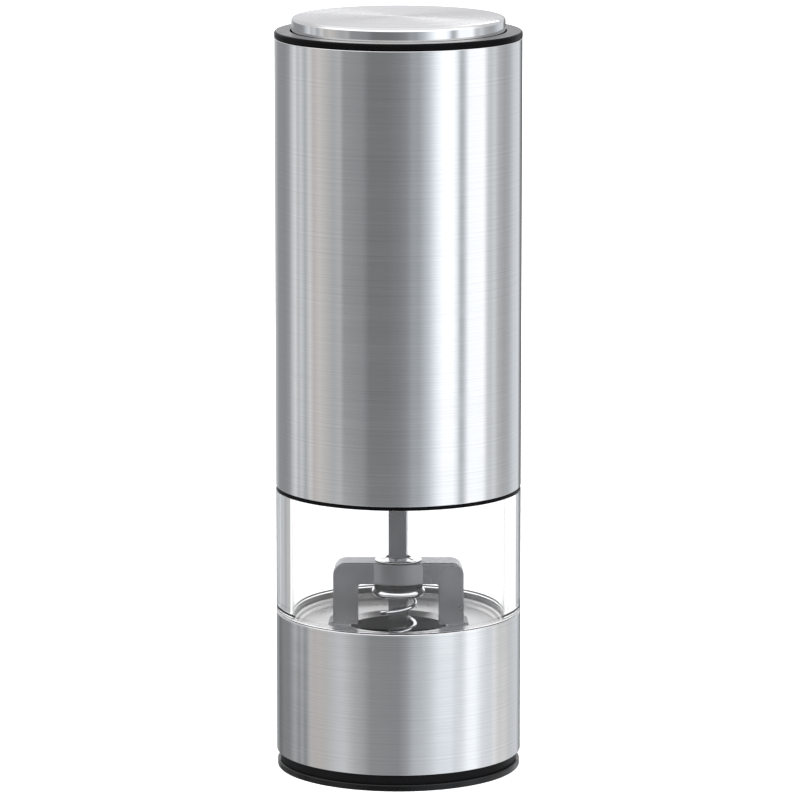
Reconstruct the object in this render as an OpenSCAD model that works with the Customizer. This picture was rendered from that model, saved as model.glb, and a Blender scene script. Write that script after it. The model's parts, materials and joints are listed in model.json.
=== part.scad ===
// Electric pepper grinder: steel sleeves, a clear hopper window and a push button on top.
// Millimetres, +Z up, origin at the centre of the base. The front of the object faces -Y.

/* [Body] */
// Outside diameter of both steel sleeves and of the clear window
body_d = 54; // [52:0.5:60]
// Wall of the steel sleeves
sleeve_wall = 0.6; // [0.5:0.05:0.8]
// Bright bevel on the ends of the steel sleeves
sleeve_bevel = 0.25; // [0.1:0.05:0.4]
// Height of the lower steel sleeve
lower_sleeve_h = 31.6; // [30:0.1:38]
// Height of the clear window between the sleeves
window_h = 27.3; // [24:0.1:34]

/* [Dust cap and neck] */
// Height of the glossy lip of the dust cap
cap_h = 1.5; // [1.2:0.1:2.5]
// How far the lip stands back from the body
cap_inset = 0.2; // [0:0.1:1]
// Edge radius of the lip
cap_edge_r = 0.5; // [0.2:0.1:0.6]
// Height of the plug ring above the lip
cap_plug_h = 3.5; // [2:0.5:5]
// Wall of the plug ring
cap_plug_wall = 1.5; // [1:0.1:2]
// Height of the dark neck between lip and sleeve
neck_h = 2; // [1.5:0.1:3]
// How far the neck stands back from the body
neck_inset = 0.9; // [0.7:0.05:1.4]

/* [Hopper] */
// Wall of the clear window
window_wall = 3.5; // [3:0.1:4]
// Depth of the window's lower spigot inside the lower sleeve
spigot_h = 4.6; // [4:0.1:6]
// Height of the window's thin neck inside the power unit
window_neck_h = 6.4; // [6:0.2:8]
// Wire diameter of the seal in the neck's groove
seal_wire_d = 1.2; // [1:0.1:1.4]
// Height of the foot under the hopper floor's rim
rim_foot = 0.5; // [0.3:0.1:0.8]
// Thickness of the hopper floor
floor_t = 1.6; // [1.4:0.1:2]
// Height of the floor's rim above the floor
rim_h = 1.5; // [1.2:0.1:2.8]
// Wall of the floor's rim
rim_wall = 1; // [0.8:0.1:1.3]
// Radius of the feed mouth in the hopper floor
mouth_r = 10.6; // [10.2:0.1:10.8]
// Chamfer round the feed mouth
mouth_chamfer = 1.2; // [0.6:0.1:1.2]
// Wall of the throat under the mouth
throat_wall = 0.8; // [0.6:0.05:0.8]

/* [Yoke] */
// How far each leg reaches past the mouth's chamfer
yoke_seat_w = 2.5; // [2.3:0.1:3.2]
// Width of one leg
yoke_leg_w = 5.4; // [5:0.1:5.8]
// Depth front to back
yoke_depth = 7; // [6.4:0.1:8]
// Height of the crossbar's underside above the hopper floor
yoke_clear_h = 8.9; // [8.5:0.1:11]
// Height of the crossbar and its boss
yoke_bar_h = 4.8; // [4:0.1:6]
// Radius of the outer top corners
yoke_corner_r = 2.6; // [1.5:0.1:3]
// Radius of the upright edges
yoke_edge_r = 0.8; // [0.4:0.1:1.2]
// Wall of the central boss round the bush
yoke_boss_wall = 1.8; // [1.5:0.1:2.3]
// Height of the small ledge at each foot
foot_h = 0.6; // [0.4:0.1:1]
// How far the ledge stands out at the side
foot_out = 1.1; // [0.6:0.1:1.5]
// Radius of the screws that hold the yoke
yoke_screw_r = 0.9; // [0.8:0.05:1]
// Head radius of those screws
yoke_head_r = 1.45; // [1.3:0.05:1.5]

/* [Drive shaft] */
// Width across the flats of the square shaft
shaft_w = 4; // [3.8:0.1:4.2]
// Radius of the round edges that run in the bush, as a share of the width
shaft_edge_share = 0.675; // [0.65:0.005:0.685]
// Turn of the square about its axis at rest
shaft_turn = 6; // [0:1:45]
// Pitch of the thread that the adjusting knob runs on
thread_pitch = 0.7; // [0.5:0.1:0.8]
// Wall of the plain bush in the boss
bush_wall = 1; // [0.8:0.05:1.3]
// Diameter of the push-on clip above the boss
clip_d = 10.4; // [9.6:0.1:10.8]
// Thickness of that clip
clip_t = 0.45; // [0.4:0.05:0.6]
// Wall of the spring cup under the boss
cup_wall = 1.4; // [1.2:0.05:1.5]
// Height of the spring cup
cup_h = 2.9; // [2.6:0.1:3.2]
// Depth of the recess that hides the spring's top curl
cup_recess = 1.5; // [1.3:0.1:1.7]

/* [Burr spring] */
// Clearance between the shaft's edges and the spring
spring_clear = 0.6; // [0.5:0.05:0.75]
// Wire diameter of the spring
spring_wire = 0.85; // [0.7:0.05:0.9]
// Rise of each open curl
spring_pitch = 4.9; // [4:0.1:5.5]

/* [Burrs] */
// Height of both burrs
burr_h = 12; // [11:0.2:13]
// Wall of the fixed burr at its bottom edge
outer_burr_wall = 4.7; // [4.2:0.1:5.2]
// Bottom radius of the turning burr
inner_burr_r = 13.2; // [13:0.1:13.4]
// Wall of the turning burr at its top edge
inner_burr_top_wall = 2.05; // [1.85:0.05:2.6]
// Radial grinding gap at the bottom edge
grind_gap = 0.6; // [0.55:0.05:0.7]
// Radial gap for the corns at the top edge
feed_gap = 4.2; // [4:0.1:4.6]
// Number of fine teeth round the fixed burr
outer_teeth = 30; // [18:1:36]
// Number of fine teeth round the turning burr
inner_teeth = 24; // [16:1:30]
// Number of deep feed flutes on the turning burr
feed_flutes = 6; // [4:1:8]
// Depth of the fine teeth
tooth_depth = 0.8; // [0.5:0.05:1]
// Depth of the feed flutes
flute_depth = 1.3; // [1:0.05:1.5]
// Slant of the teeth from the straight line up the cone
tooth_slant = 18; // [8:1:24]

/* [Burr carrier and knob] */
// How far the carrier's stem reaches outside the spring
stem_rim = 0.55; // [0.4:0.05:0.7]
// Radius of the flange under the turning burr
flange_r = 8.5; // [7.5:0.1:9]
// Thickness of that flange
flange_t = 1.4; // [1.2:0.1:1.8]
// Radius of the adjusting knob
knob_r = 6.5; // [6:0.1:7.2]
// Height of the adjusting knob
knob_h = 5.4; // [4.6:0.1:5.8]
// Number of grip flutes round the knob
knob_flutes = 12; // [8:1:16]
// Radius of one grip flute
knob_flute_r = 1; // [0.7:0.05:1.1]

/* [Gear train] */
// Teeth on each sun gear
sun_teeth = 12; // [12:12:12]
// Teeth on each planet gear
planet_teeth = 18; // [18:18:18]
// Face width of the gears
gear_w = 4.3; // [3.8:0.1:5]
// Thickness of the planet carriers
carrier_t = 1.4; // [1.2:0.1:1.8]
// Radius of the planet pins
pin_r = 1.4; // [1.2:0.1:1.6]
// How far the planet carriers reach past the planets' centres
carrier_rim = 3; // [2.6:0.1:3.4]
// Wall of the gearbox housing outside the ring gear
gearbox_wall = 2.38; // [2.2:0.02:2.8]
// Gap between the gearbox housing and the posts
post_gap = 1.6; // [1.2:0.1:2.2]
// Floor of the gearbox housing
gearbox_floor = 1.5; // [1.3:0.1:2]
// Thickness of the motor plate
motor_plate_t = 1.5; // [1.3:0.1:2]
// Wall of the output hub round the coupling
hub_wall = 1.7; // [1.5:0.1:2.1]
// Least wall of the coupling at the corners of its socket
coupling_wall = 0.33; // [0.25:0.01:0.6]

/* [Motor] */
// Diameter of the motor can
motor_d = 20.1; // [19.6:0.1:21]
// Length of the steel can
motor_can_h = 22.6; // [21:0.1:24]
// Height of the plastic end cap
motor_end_h = 2.4; // [2:0.1:3]
// Radius of the motor shaft
motor_shaft_r = 1; // [0.9:0.05:1.1]
// Thickness of the magnets
magnet_t = 2; // [1.6:0.1:2.4]
// Gap between the magnets and the armature
magnet_gap = 1.2; // [0.8:0.1:1.6]
// Gap between the armature and the flats of the can
flat_gap = 0.75; // [0.5:0.05:1]

/* [Batteries] */
// Diameter of one AAA cell
cell_d = 10.5; // [10.5:0.1:10.8]
// Length of one AAA cell over its button
cell_h = 44.5; // [44.5:0.1:45]
// Margin of the carrier's end plates outside the cells
cell_rim = 2.85; // [2.4:0.05:3.3]
// Gap between the end plates and the sleeve
carrier_side_gap = 1.8; // [1.6:0.1:2.2]
// Thickness of the end plates
carrier_plate_t = 1.2; // [1:0.1:1.6]
// Thickness of the contact strips
contact_t = 0.3; // [0.2:0.05:0.4]
// Height of a compressed contact spring
contact_spring_h = 1.8; // [1.6:0.1:2]
// Radius of the four posts that hold the battery carrier
post_r = 2.6; // [2.4:0.1:2.8]

/* [Button and collar] */
// Height of the dark collar
collar_h = 1.4; // [1.2:0.1:2]
// Edge radius of the collar
collar_edge_r = 0.5; // [0.3:0.1:0.8]
// How far the button cap stands back from the body
button_inset = 3.7; // [3.5:0.1:4.5]
// How far the button stands above the collar
button_rise = 3; // [2.4:0.1:4]
// Edge radius of the button cap
button_edge_r = 1.1; // [0.6:0.1:1.4]
// Wall of the button cap
button_wall = 0.9; // [0.7:0.1:1.1]
// Travel of the button
button_travel = 0.9; // [0.6:0.1:0.9]
// Outside diameter of the return spring
return_spring_d = 20; // [19:0.5:24]
// Wire diameter of the return spring
return_wire = 0.7; // [0.6:0.05:0.8]

/* [Hidden] */
$fn = 96;

// Clearances
fit_gap = 0.05;
run_gap = 0.1;
slide_gap = 0.1;
free_gap = 0.3;
// Overrun of every cut
over = 1;

// Small sizes of single pieces
base_wall = 2.05;
shelf_t = 2;
shelf_in = 1.4;
seat_wall = 1.6;
seat_drop = 2;
ledge_t = 1.5;
ledge_in = 2.3;
outlet_wall = 3.8;
rib_t = 1.2;
rib_count = 6;
lug_w = 4;
lug_out = 0.9;
lug_count = 3;
outlet_h = 9.5;
groove_slack = 0.1;
screw_h = 6;
head_h = 1.2;
slot_w = 0.5;
slot_depth = 0.4;
skirt_wall = 0.8;
flange_h = 0.6;
flange_inset = 0.1;
plate_t = 1.2;
well_floor = 1.5;
well_wall = 1.4;
well_drop = 2.1;
coupling_drop = 3;
socket_depth = 5.5;
socket_slack = 0.1;
shaft_end_gap = 0.5;
gear_gap = 0.3;
stage_gap = 0.4;
plate_gap = 0.6;
gearbox_screw_r = 0.8;
gearbox_head_r = 1.4;
motor_boss_r = 3;
motor_boss_h = 1;
motor_wall = 0.6;
magnet_inset = 4.3;
armature_inset = 4.8;
motor_screw_r = 0.8;
motor_screw_h = 2.6;
terminal_w = 1.8;
terminal_t = 0.4;
terminal_in = 2;
carrier_gap = 0.7;
column_inset = 0.25;
arm_t = 2.4;
arm_gap = 2.4;
trough_gap = 0.35;
carrier_screw_r = 1;
carrier_head_r = 1.7;
carrier_screw_h = 6;
carrier_head_h = 1.1;
cell_button_r = 1.9;
cell_button_h = 0.8;
cell_edge_r = 0.4;
contact_pad_r = 4;
contact_spring_r = 3.2;
contact_wire = 0.5;
strip_w = 3;
lower_bridge_angles = [180];
upper_bridge_angles = [90, 270];
rail_w = 2;
board_r = 7.2;
board_t = 0.8;
switch_w = 6;
switch_h = 1.9;
key_r = 1.75;
key_rise = 1.2;
key_depth = 0.5;
guide_t = 0.8;
guide_over = 1.4;
guide_lip = 2;
skirt_drop = 12;
collar_skirt_wall = 1.15;
collar_step = 0.6;
collar_out = 0.05;
stop_t = 1.1;
stop_out = 1;
core_wall = 1;
stalk_r = 2.2;

// Radii
body_r = body_d / 2;
bore_r = body_r - sleeve_wall;
window_r = body_r - window_wall;
neck_r = body_r - neck_inset;
base_r = bore_r - fit_gap;
base_in_r = base_r - base_wall;
outlet_r = neck_r - outlet_wall;
skirt_r = bore_r - slide_gap;
skirt_in_r = skirt_r - skirt_wall;
window_neck_r = skirt_in_r - free_gap;
rim_r = window_r - 2 * run_gap;
button_r = body_r - button_inset;

// Radii round the drive shaft
shaft_edge_r = shaft_w * shaft_edge_share;
thread_r = shaft_w / 2;
bush_r = shaft_edge_r + bush_wall;
yoke_boss_r = bush_r + yoke_boss_wall;
yoke_w = 2 * (mouth_r + mouth_chamfer + yoke_seat_w);
yoke_screw_x = yoke_w / 2 - yoke_leg_w / 4;
spring_d = 2 * (shaft_edge_r + spring_clear + spring_wire);
cup_r = spring_d / 2 + free_gap + cup_wall;
stem_r = spring_d / 2 + stem_rim;
inner_burr_top_r = stem_r + fit_gap + inner_burr_top_wall;
outer_burr_top_r = inner_burr_top_r + feed_gap;
outer_burr_low_r = inner_burr_r + grind_gap;
outer_burr_r = outer_burr_low_r + outer_burr_wall;
shelf_r = outer_burr_low_r + shelf_in;
coupling_r = (shaft_w + 2 * socket_slack) / sqrt(2) + coupling_wall;
hub_r = coupling_r + hub_wall;

// Radii of the power unit
carrier_plate_r = bore_r - carrier_side_gap;
post_ring_r = carrier_plate_r - post_r - free_gap;
gearbox_r = post_ring_r - post_r - post_gap;
ring_root_r = gearbox_r - gearbox_wall;
gearbox_screw_ring_r = (gearbox_r + ring_root_r) / 2;
cell_ring_r = carrier_plate_r - cell_rim - cell_d / 2;
column_r = cell_ring_r - cell_d / 2 - column_inset;
arm_r = post_ring_r - carrier_head_r - arm_gap;
armature_r = motor_d / 2 - motor_wall - fit_gap - magnet_t - magnet_gap;
motor_flat_w = 2 * (armature_r + flat_gap + motor_wall);
motor_screw_x = (motor_d / 2 - motor_wall + motor_boss_r) / 2;
terminal_x = motor_d / 4;
rail_x = terminal_x + (terminal_t + contact_t) / 2;
guide_hole_r = return_spring_d / 2 - guide_lip;

// Heights from the ground up to the top of the hopper
z_neck = cap_h;
z_sleeve = z_neck + neck_h;
z_window = z_sleeve + lower_sleeve_h;
z_spigot = z_window - spigot_h;
z_ledge = z_spigot - run_gap;
z_under = z_ledge + rim_foot;
z_floor = z_under + floor_t;
z_flange = z_window + window_h;
z_upper = z_flange + flange_h;
z_neck_top = z_flange + window_neck_h;

// Heights of the grinder
z_burr = z_neck + outlet_h;
seat_h = burr_h - seat_drop;
z_shelf = z_burr - shelf_t;
z_burr_top = z_burr + burr_h;
z_turning = z_burr + gear_gap;
turning_h = burr_h - stage_gap;
z_flange_low = z_turning - flange_t;
z_stem_top = z_turning + turning_h + over;
z_knob_top = z_flange_low - run_gap;
z_knob = z_knob_top - knob_h;
z_boss = z_floor + yoke_clear_h;
z_boss_top = z_boss + yoke_bar_h;
z_cup = z_boss - run_gap - cup_h;
z_spring_top = z_cup + cup_recess;

// Heights of the gearbox, from its well up
z_well = z_flange + well_drop;
z_gearbox = z_well + well_floor;
z_coupling = z_gearbox - well_floor - coupling_drop;
z_shaft_top = z_coupling + socket_depth - shaft_end_gap;
z_out_plate = z_gearbox + gearbox_floor + gear_gap;
z_second = z_out_plate + carrier_t + gear_gap;
z_first_plate = z_second + gear_w + stage_gap;
z_first = z_first_plate + carrier_t + gear_gap;
z_motor_plate = z_first + gear_w + plate_gap;
z_motor = z_motor_plate + motor_plate_t;
z_motor_end = z_motor + motor_can_h;
z_motor_top = z_motor_end + motor_end_h;

// Heights of the batteries and the switch
z_carrier = z_motor_top + carrier_gap;
z_contact = z_carrier + carrier_plate_t;
z_cells = z_contact + contact_t;
z_cells_top = z_cells + cell_h + contact_spring_h;
z_top_plate = z_cells_top + contact_t;
z_board = z_top_plate + carrier_plate_t;
z_switch = z_board + board_t;
z_key = z_switch + switch_h;
z_key_top = z_key + key_rise;

// Heights of the collar and the button
z_guide = z_board + guide_over;
z_guide_top = z_guide + guide_t;
z_stop = z_guide_top + free_gap + button_travel;
z_stop_top = z_stop + stop_t;
z_collar = z_stop_top + free_gap;
z_collar_top = z_collar + collar_h;
z_top = z_collar_top + button_rise;

// Gear proportions, as shares of the module and of the tooth
pressure_angle = 20;
tip_share = 0.85;
root_share = 1.2;
slim_share = 0.12;
flank_steps = 2;
// Half width of a burr cut, as a share of the pitch's half
cut_share = 0.42;
ring_teeth = sun_teeth + 2 * planet_teeth;
gear_module = ring_root_r / (ring_teeth / 2 + root_share);
planet_orbit = gear_module * (sun_teeth + planet_teeth) / 2;
carrier_r = planet_orbit + carrier_rim;
planet_count = 3;
half_space = 180 / planet_count;

// Points on an arc about a centre, from one angle to another
function arc(c, r, a0, a1, n = 6) =
  [for (i = [0:n]) c + r * [cos(a0 + (a1 - a0) * i / n), sin(a0 + (a1 - a0) * i / n)]];

function involute(a) = tan(a) - a * PI / 180;

// Half of a tooth's angle at a radius, in degrees
function half_tooth(teeth, base, r, slim) =
  (PI / 2 / teeth * (1 - slim) + involute(pressure_angle) - involute(acos(min(1, base / r))))
  * 180 / PI;

// Outline of an involute gear with a tooth centred on +X
function gear_points(teeth, tip, root, slim) =
  let (
    pitch_r = gear_module * teeth / 2,
    base = pitch_r * cos(pressure_angle),
    tip_r = pitch_r + tip * gear_module,
    root_r = pitch_r - root * gear_module,
    low = max(root_r, base),
    radii = [for (k = [0:flank_steps]) low + (tip_r - low) * k / flank_steps],
    half = [for (r = radii) half_tooth(teeth, base, r, slim)]
  )
  [for (i = [0:teeth - 1])
    let (
      mid = i * 360 / teeth,
      rise = [for (k = [0:flank_steps]) [radii[k], mid - half[k]]],
      fall = [for (k = [flank_steps:-1:0]) [radii[k], mid + half[k]]],
      foot_in = root_r < low ? [[root_r, mid - half[0]]] : [],
      foot_out = root_r < low ? [[root_r, mid + half[0]]] : []
    )
    each [for (p = concat(foot_in, rise, fall, foot_out)) p[0] * [cos(p[1]), sin(p[1])]]
  ];

module gear_profile(teeth) {
  polygon(gear_points(teeth, tip_share, root_share, slim_share));
}

// Hole of a ring gear: a gear outline with the tip and root swapped and the spaces widened
module ring_profile() {
  rotate(180 / ring_teeth) polygon(gear_points(ring_teeth, root_share, tip_share, -slim_share));
}

module planet_gear(z, spot) {
  rotate(spot * 360 / planet_count) translate([planet_orbit, 0, z])
    linear_extrude(gear_w) difference() {
      rotate(180 / planet_teeth) gear_profile(planet_teeth);
      circle(pin_r + fit_gap);
    }
}

module planet_pins(z) {
  for (i = [0:planet_count - 1])
    rotate(i * 360 / planet_count) translate([planet_orbit, 0, z])
      cylinder(h = carrier_t + gear_gap + gear_w, r = pin_r);
}

// Wound wire: one unbroken tube with close end curls
wire_sides = 6;
curl_rings = 8;

function wound_height(t, turns, h, end_rise) =
  turns <= 2 ? h * t / turns
  : t < 1 ? end_rise * t
  : t > turns - 1 ? h - end_rise * (turns - t)
  : end_rise + (h - 2 * end_rise) * (t - 1) / (turns - 2);

function wound_path(r, h, turns, end_rise) =
  let (n = ceil(turns * curl_rings))
  [for (i = [0:n])
    let (t = turns * i / n)
    [r * cos(360 * t), r * sin(360 * t), wound_height(t, turns, h, end_rise), 360 * t]];

module wound_wire(r, wire, h, turns, end_rise) {
  path = wound_path(r, h - wire, turns, end_rise);
  n = len(path);
  slope = atan(h / turns / (2 * PI * r));
  points = [for (p = path)
    let (out = [cos(p[3]), sin(p[3]), 0],
      up = [sin(p[3]) * sin(slope), -cos(p[3]) * sin(slope), cos(slope)])
    for (k = [0:wire_sides - 1])
      let (a = 360 * k / wire_sides)
      [p[0], p[1], p[2] + wire / 2] + wire / 2 * (cos(a) * out + sin(a) * up)];
  sides = [for (i = [0:n - 2], k = [0:wire_sides - 1])
    let (a = i * wire_sides + k, b = i * wire_sides + (k + 1) % wire_sides)
    each [[a, a + wire_sides, b + wire_sides], [a, b + wire_sides, b]]];
  first = [for (k = [1:wire_sides - 2]) [0, k, k + 1]];
  last_ring = (n - 1) * wire_sides;
  last = [for (k = [1:wire_sides - 2]) [last_ring, last_ring + k + 1, last_ring + k]];
  polyhedron(points, concat(sides, first, last));
}

// Least gap between points of the wire's path that lie more than half a curl apart
function least_gap(path, wire) =
  min([for (i = [0:len(path) - 1], j = [i + curl_rings / 2 + 1:1:len(path) - 1])
    norm([path[i][0] - path[j][0], path[i][1] - path[j][1], path[i][2] - path[j][2]])]) - wire;

// Burr spring
spring_r = (spring_d - spring_wire) / 2;
close_share = 1.65;
spring_end_rise = close_share * spring_wire;
spring_h = z_spring_top - z_stem_top - 2 * fit_gap;
spring_turns = 2 + (spring_h - spring_wire - 2 * spring_end_rise) / spring_pitch;
echo(burr_spring_least_gap =
  least_gap(wound_path(spring_r, spring_h - spring_wire, spring_turns, spring_end_rise), spring_wire));

// Button return spring
return_end_rise = close_share * return_wire;
return_r = (return_spring_d - return_wire) / 2;
z_core_plate = z_top - button_wall - core_wall;
return_h = z_core_plate - z_guide_top - 2 * fit_gap;
return_turns = 3.5;
echo(button_spring_least_gap =
  least_gap(wound_path(return_r, return_h - return_wire, return_turns, return_end_rise), return_wire));

// Contact springs
contact_turns = 1.2;
echo(contact_spring_least_gap =
  least_gap(wound_path(contact_spring_r, contact_spring_h - contact_wire - 2 * fit_gap,
    contact_turns, 0), contact_wire));

// Ring with a rectangular section
module ring(r_out, r_in, h) {
  difference() {
    cylinder(h = h, r = r_out);
    translate([0, 0, -over]) cylinder(h = h + 2 * over, r = r_in);
  }
}

module around(count, turn = 0) {
  for (i = [0:count - 1]) rotate(turn + i * 360 / count) children();
}

module square_bar(w, h) {
  translate([-w / 2, -w / 2, 0]) cube([w, w, h]);
}

// Steel tube with a bevel on both outer edges
module steel_tube(z, h) {
  translate([0, 0, z]) rotate_extrude() polygon([
    [bore_r, 0], [body_r - sleeve_bevel, 0], [body_r, sleeve_bevel],
    [body_r, h - sleeve_bevel], [body_r - sleeve_bevel, h], [bore_r, h]
  ]);
}

// Slotted screw with its head up, whose head's underside is at z = 0
module screw(r, h, head_r, head_t) {
  difference() {
    union() {
      translate([0, 0, -h]) cylinder(h = h + head_t / 2, r = r);
      cylinder(h = head_t, r = head_r);
    }
    translate([-head_r - over, -slot_w / 2, head_t - slot_depth])
      cube([2 * (head_r + over), slot_w, slot_depth + over]);
  }
}

// Glossy lid under the outlet, pushed into the neck
module dust_cap() {
  lip_r = body_r - cap_inset;
  plug_r = outlet_r - slide_gap;
  color([0.05, 0.05, 0.055]) rotate_extrude() polygon(concat(
    [[0, 0]],
    arc([lip_r - cap_edge_r, cap_edge_r], cap_edge_r, -90, 0),
    arc([lip_r - cap_edge_r, cap_h - cap_edge_r], cap_edge_r, 0, 90),
    [[plug_r, cap_h], [plug_r, cap_h + cap_plug_h],
     [plug_r - cap_plug_wall, cap_h + cap_plug_h], [plug_r - cap_plug_wall, cap_h], [0, cap_h]]
  ));
}

// Moulding inside the lower sleeve: outlet, burr shelf and seat, ledge for the hopper
module grinder_base() {
  seat_r = outer_burr_r + fit_gap;
  color([0.13, 0.13, 0.14]) difference() {
    union() {
      rotate_extrude() polygon([
        [outlet_r, z_neck], [neck_r, z_neck], [neck_r, z_sleeve], [base_r, z_sleeve],
        [base_r, z_spigot], [base_in_r, z_spigot], [base_in_r, z_ledge],
        [base_in_r - ledge_in, z_ledge], [base_in_r - ledge_in, z_ledge - ledge_t],
        [base_in_r, z_ledge - ledge_t - ledge_in],
        [base_in_r, z_burr], [shelf_r, z_burr], [shelf_r, z_shelf], [outlet_r, z_shelf]
      ]);
      translate([0, 0, z_burr - shelf_t / 2])
        ring(seat_r + seat_wall, seat_r, seat_h + shelf_t / 2);
      around(rib_count, 180 / rib_count)
        translate([seat_r + seat_wall / 2, -rib_t / 2, z_burr - shelf_t / 2])
          cube([base_in_r + base_wall / 2 - seat_r - seat_wall / 2, rib_t, seat_h]);
    }
    around(lug_count, 90) translate([seat_r - over, -lug_w / 2 - fit_gap, z_burr])
      cube([lug_out + over + fit_gap, lug_w + 2 * fit_gap, seat_h + over]);
  }
}

module lower_sleeve() {
  color([0.72, 0.72, 0.73]) steel_tube(z_sleeve, lower_sleeve_h);
}

// Clear window with a spigot below and a grooved neck above
module hopper_wall() {
  groove_r = window_neck_r - seal_wire_d + 2 * groove_slack;
  z_groove = z_flange + window_neck_h / 2 - seal_wire_d / 2 - groove_slack;
  color([0.85, 0.87, 0.92, 0.35]) rotate_extrude() polygon([
    [window_r, z_spigot], [base_r, z_spigot], [base_r, z_window], [body_r, z_window],
    [body_r, z_flange], [window_neck_r, z_flange], [window_neck_r, z_groove],
    [groove_r, z_groove], [groove_r, z_groove + seal_wire_d + 2 * groove_slack],
    [window_neck_r, z_groove + seal_wire_d + 2 * groove_slack], [window_neck_r, z_neck_top],
    [window_r, z_neck_top]
  ]);
}

// Rubber seal in the groove of the neck
module seal_ring() {
  groove_r = window_neck_r - seal_wire_d + 2 * groove_slack;
  color([0.06, 0.06, 0.06]) translate([0, 0, z_flange + window_neck_h / 2]) rotate_extrude()
    translate([groove_r + fit_gap + seal_wire_d / 2, 0]) circle(d = seal_wire_d, $fn = 32);
}

// Dish at the bottom of the hopper, with its throat down to the burrs
module hopper_floor() {
  color([0.62, 0.62, 0.63]) difference() {
    rotate_extrude() polygon([
      [mouth_r + throat_wall, z_burr_top], [mouth_r + throat_wall, z_under],
      [rim_r - rim_wall, z_under], [rim_r - rim_wall, z_ledge], [rim_r, z_ledge],
      [rim_r, z_floor + rim_h - rim_wall / 2], [rim_r - rim_wall / 2, z_floor + rim_h],
      [rim_r - rim_wall, z_floor + rim_h - rim_wall / 2], [rim_r - rim_wall, z_floor],
      [mouth_r + mouth_chamfer, z_floor], [mouth_r, z_floor - mouth_chamfer],
      [mouth_r, z_burr_top]
    ]);
    for (s = [-1, 1]) translate([s * yoke_screw_x, 0, z_under - over])
      cylinder(h = floor_t + 2 * over, r = yoke_screw_r + fit_gap);
  }
}

// Rounded rectangle as a polygon, centred on the origin
function round_rect(w, d, r) = concat(
  arc([w / 2 - r, d / 2 - r], r, 0, 90), arc([r - w / 2, d / 2 - r], r, 90, 180),
  arc([r - w / 2, r - d / 2], r, 180, 270), arc([w / 2 - r, r - d / 2], r, 270, 360));

// Cast bridge over the feed mouth, which carries the bush and holds the spring down
module yoke() {
  top = z_boss_top;
  half = yoke_w / 2;
  color([0.42, 0.42, 0.43]) difference() {
    union() {
      intersection() {
        union() {
          for (s = [-1, 1]) translate([s * (half - yoke_leg_w / 2), 0, z_floor])
            linear_extrude(top - z_floor) polygon(round_rect(yoke_leg_w, yoke_depth, yoke_edge_r));
          translate([0, 0, z_boss]) linear_extrude(yoke_bar_h)
            polygon(round_rect(yoke_w, yoke_depth, yoke_edge_r));
        }
        rotate([90, 0, 0]) translate([0, 0, -yoke_depth]) linear_extrude(2 * yoke_depth)
          polygon(concat([[-half, z_floor], [half, z_floor]],
            arc([half - yoke_corner_r, top - yoke_corner_r], yoke_corner_r, 0, 90),
            arc([yoke_corner_r - half, top - yoke_corner_r], yoke_corner_r, 90, 180)));
      }
      translate([0, 0, z_boss]) cylinder(h = yoke_bar_h, r = yoke_boss_r);
      for (s = [-1, 1]) translate([s * (half - yoke_leg_w / 2 + foot_out / 2), 0, z_floor])
        linear_extrude(foot_h)
          polygon(round_rect(yoke_leg_w + foot_out, yoke_depth + foot_h, yoke_edge_r));
    }
    translate([0, 0, z_boss - over]) cylinder(h = yoke_bar_h + 2 * over, r = bush_r + fit_gap);
    for (s = [-1, 1]) translate([s * yoke_screw_x, 0, z_floor - over])
      cylinder(h = screw_h + over, r = yoke_screw_r + fit_gap);
  }
}

// Two screws up through the hopper floor into the legs
module yoke_screws() {
  color([0.6, 0.6, 0.62]) for (s = [-1, 1])
    translate([s * yoke_screw_x, 0, z_under]) mirror([0, 0, 1])
      screw(yoke_screw_r, screw_h, yoke_head_r, head_h);
}

// Plain bearing bush in the boss
module shaft_bush() {
  color([0.85, 0.85, 0.86]) translate([0, 0, z_boss])
    ring(bush_r, shaft_edge_r + run_gap - fit_gap / 2, yoke_bar_h);
}

// Slanted V cuts on a cone, between two radii and heights
module cone_cuts(count, r_low, r_high, z_low, z_high, depth, half_w, inward, slant) {
  lean = atan((r_low - r_high) / (z_high - z_low));
  length = norm([r_low - r_high, z_high - z_low]) + 2 * over;
  side = inward ? -1 : 1;
  around(count) translate([(r_low + r_high) / 2, 0, (z_low + z_high) / 2])
    rotate([0, -lean, 0]) rotate([slant, 0, 0]) translate([0, 0, -length / 2])
      linear_extrude(length)
        polygon([[-side * depth, 0], [side * over, half_w * (depth + over) / depth],
          [side * over, -half_w * (depth + over) / depth]]);
}

// Fixed toothed ring
module outer_burr() {
  tooth_half = PI * outer_burr_low_r / outer_teeth * cut_share;
  color([0.9, 0.89, 0.86]) difference() {
    union() {
      rotate_extrude() polygon([
        [outer_burr_low_r, z_burr], [outer_burr_r, z_burr], [outer_burr_r, z_burr_top],
        [outer_burr_top_r, z_burr_top]
      ]);
      around(lug_count, 90) translate([outer_burr_r - over, -lug_w / 2, z_burr])
        cube([lug_out + over, lug_w, seat_h]);
    }
    cone_cuts(outer_teeth, outer_burr_low_r, outer_burr_top_r, z_burr, z_burr_top, tooth_depth,
      tooth_half, true, tooth_slant);
  }
}

// Square shaft, threaded at its lower end
module drive_shaft() {
  z_end = z_knob - thread_pitch / 2;
  color([0.5, 0.5, 0.51]) union() {
    translate([0, 0, z_turning + flange_t]) rotate(shaft_turn) intersection() {
      square_bar(shaft_w, z_shaft_top - z_turning - flange_t);
      cylinder(h = z_shaft_top - z_turning - flange_t, r = shaft_edge_r);
    }
    translate([0, 0, z_end]) cylinder(h = z_turning + 2 * flange_t - z_end, r = thread_r);
  }
}

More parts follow.
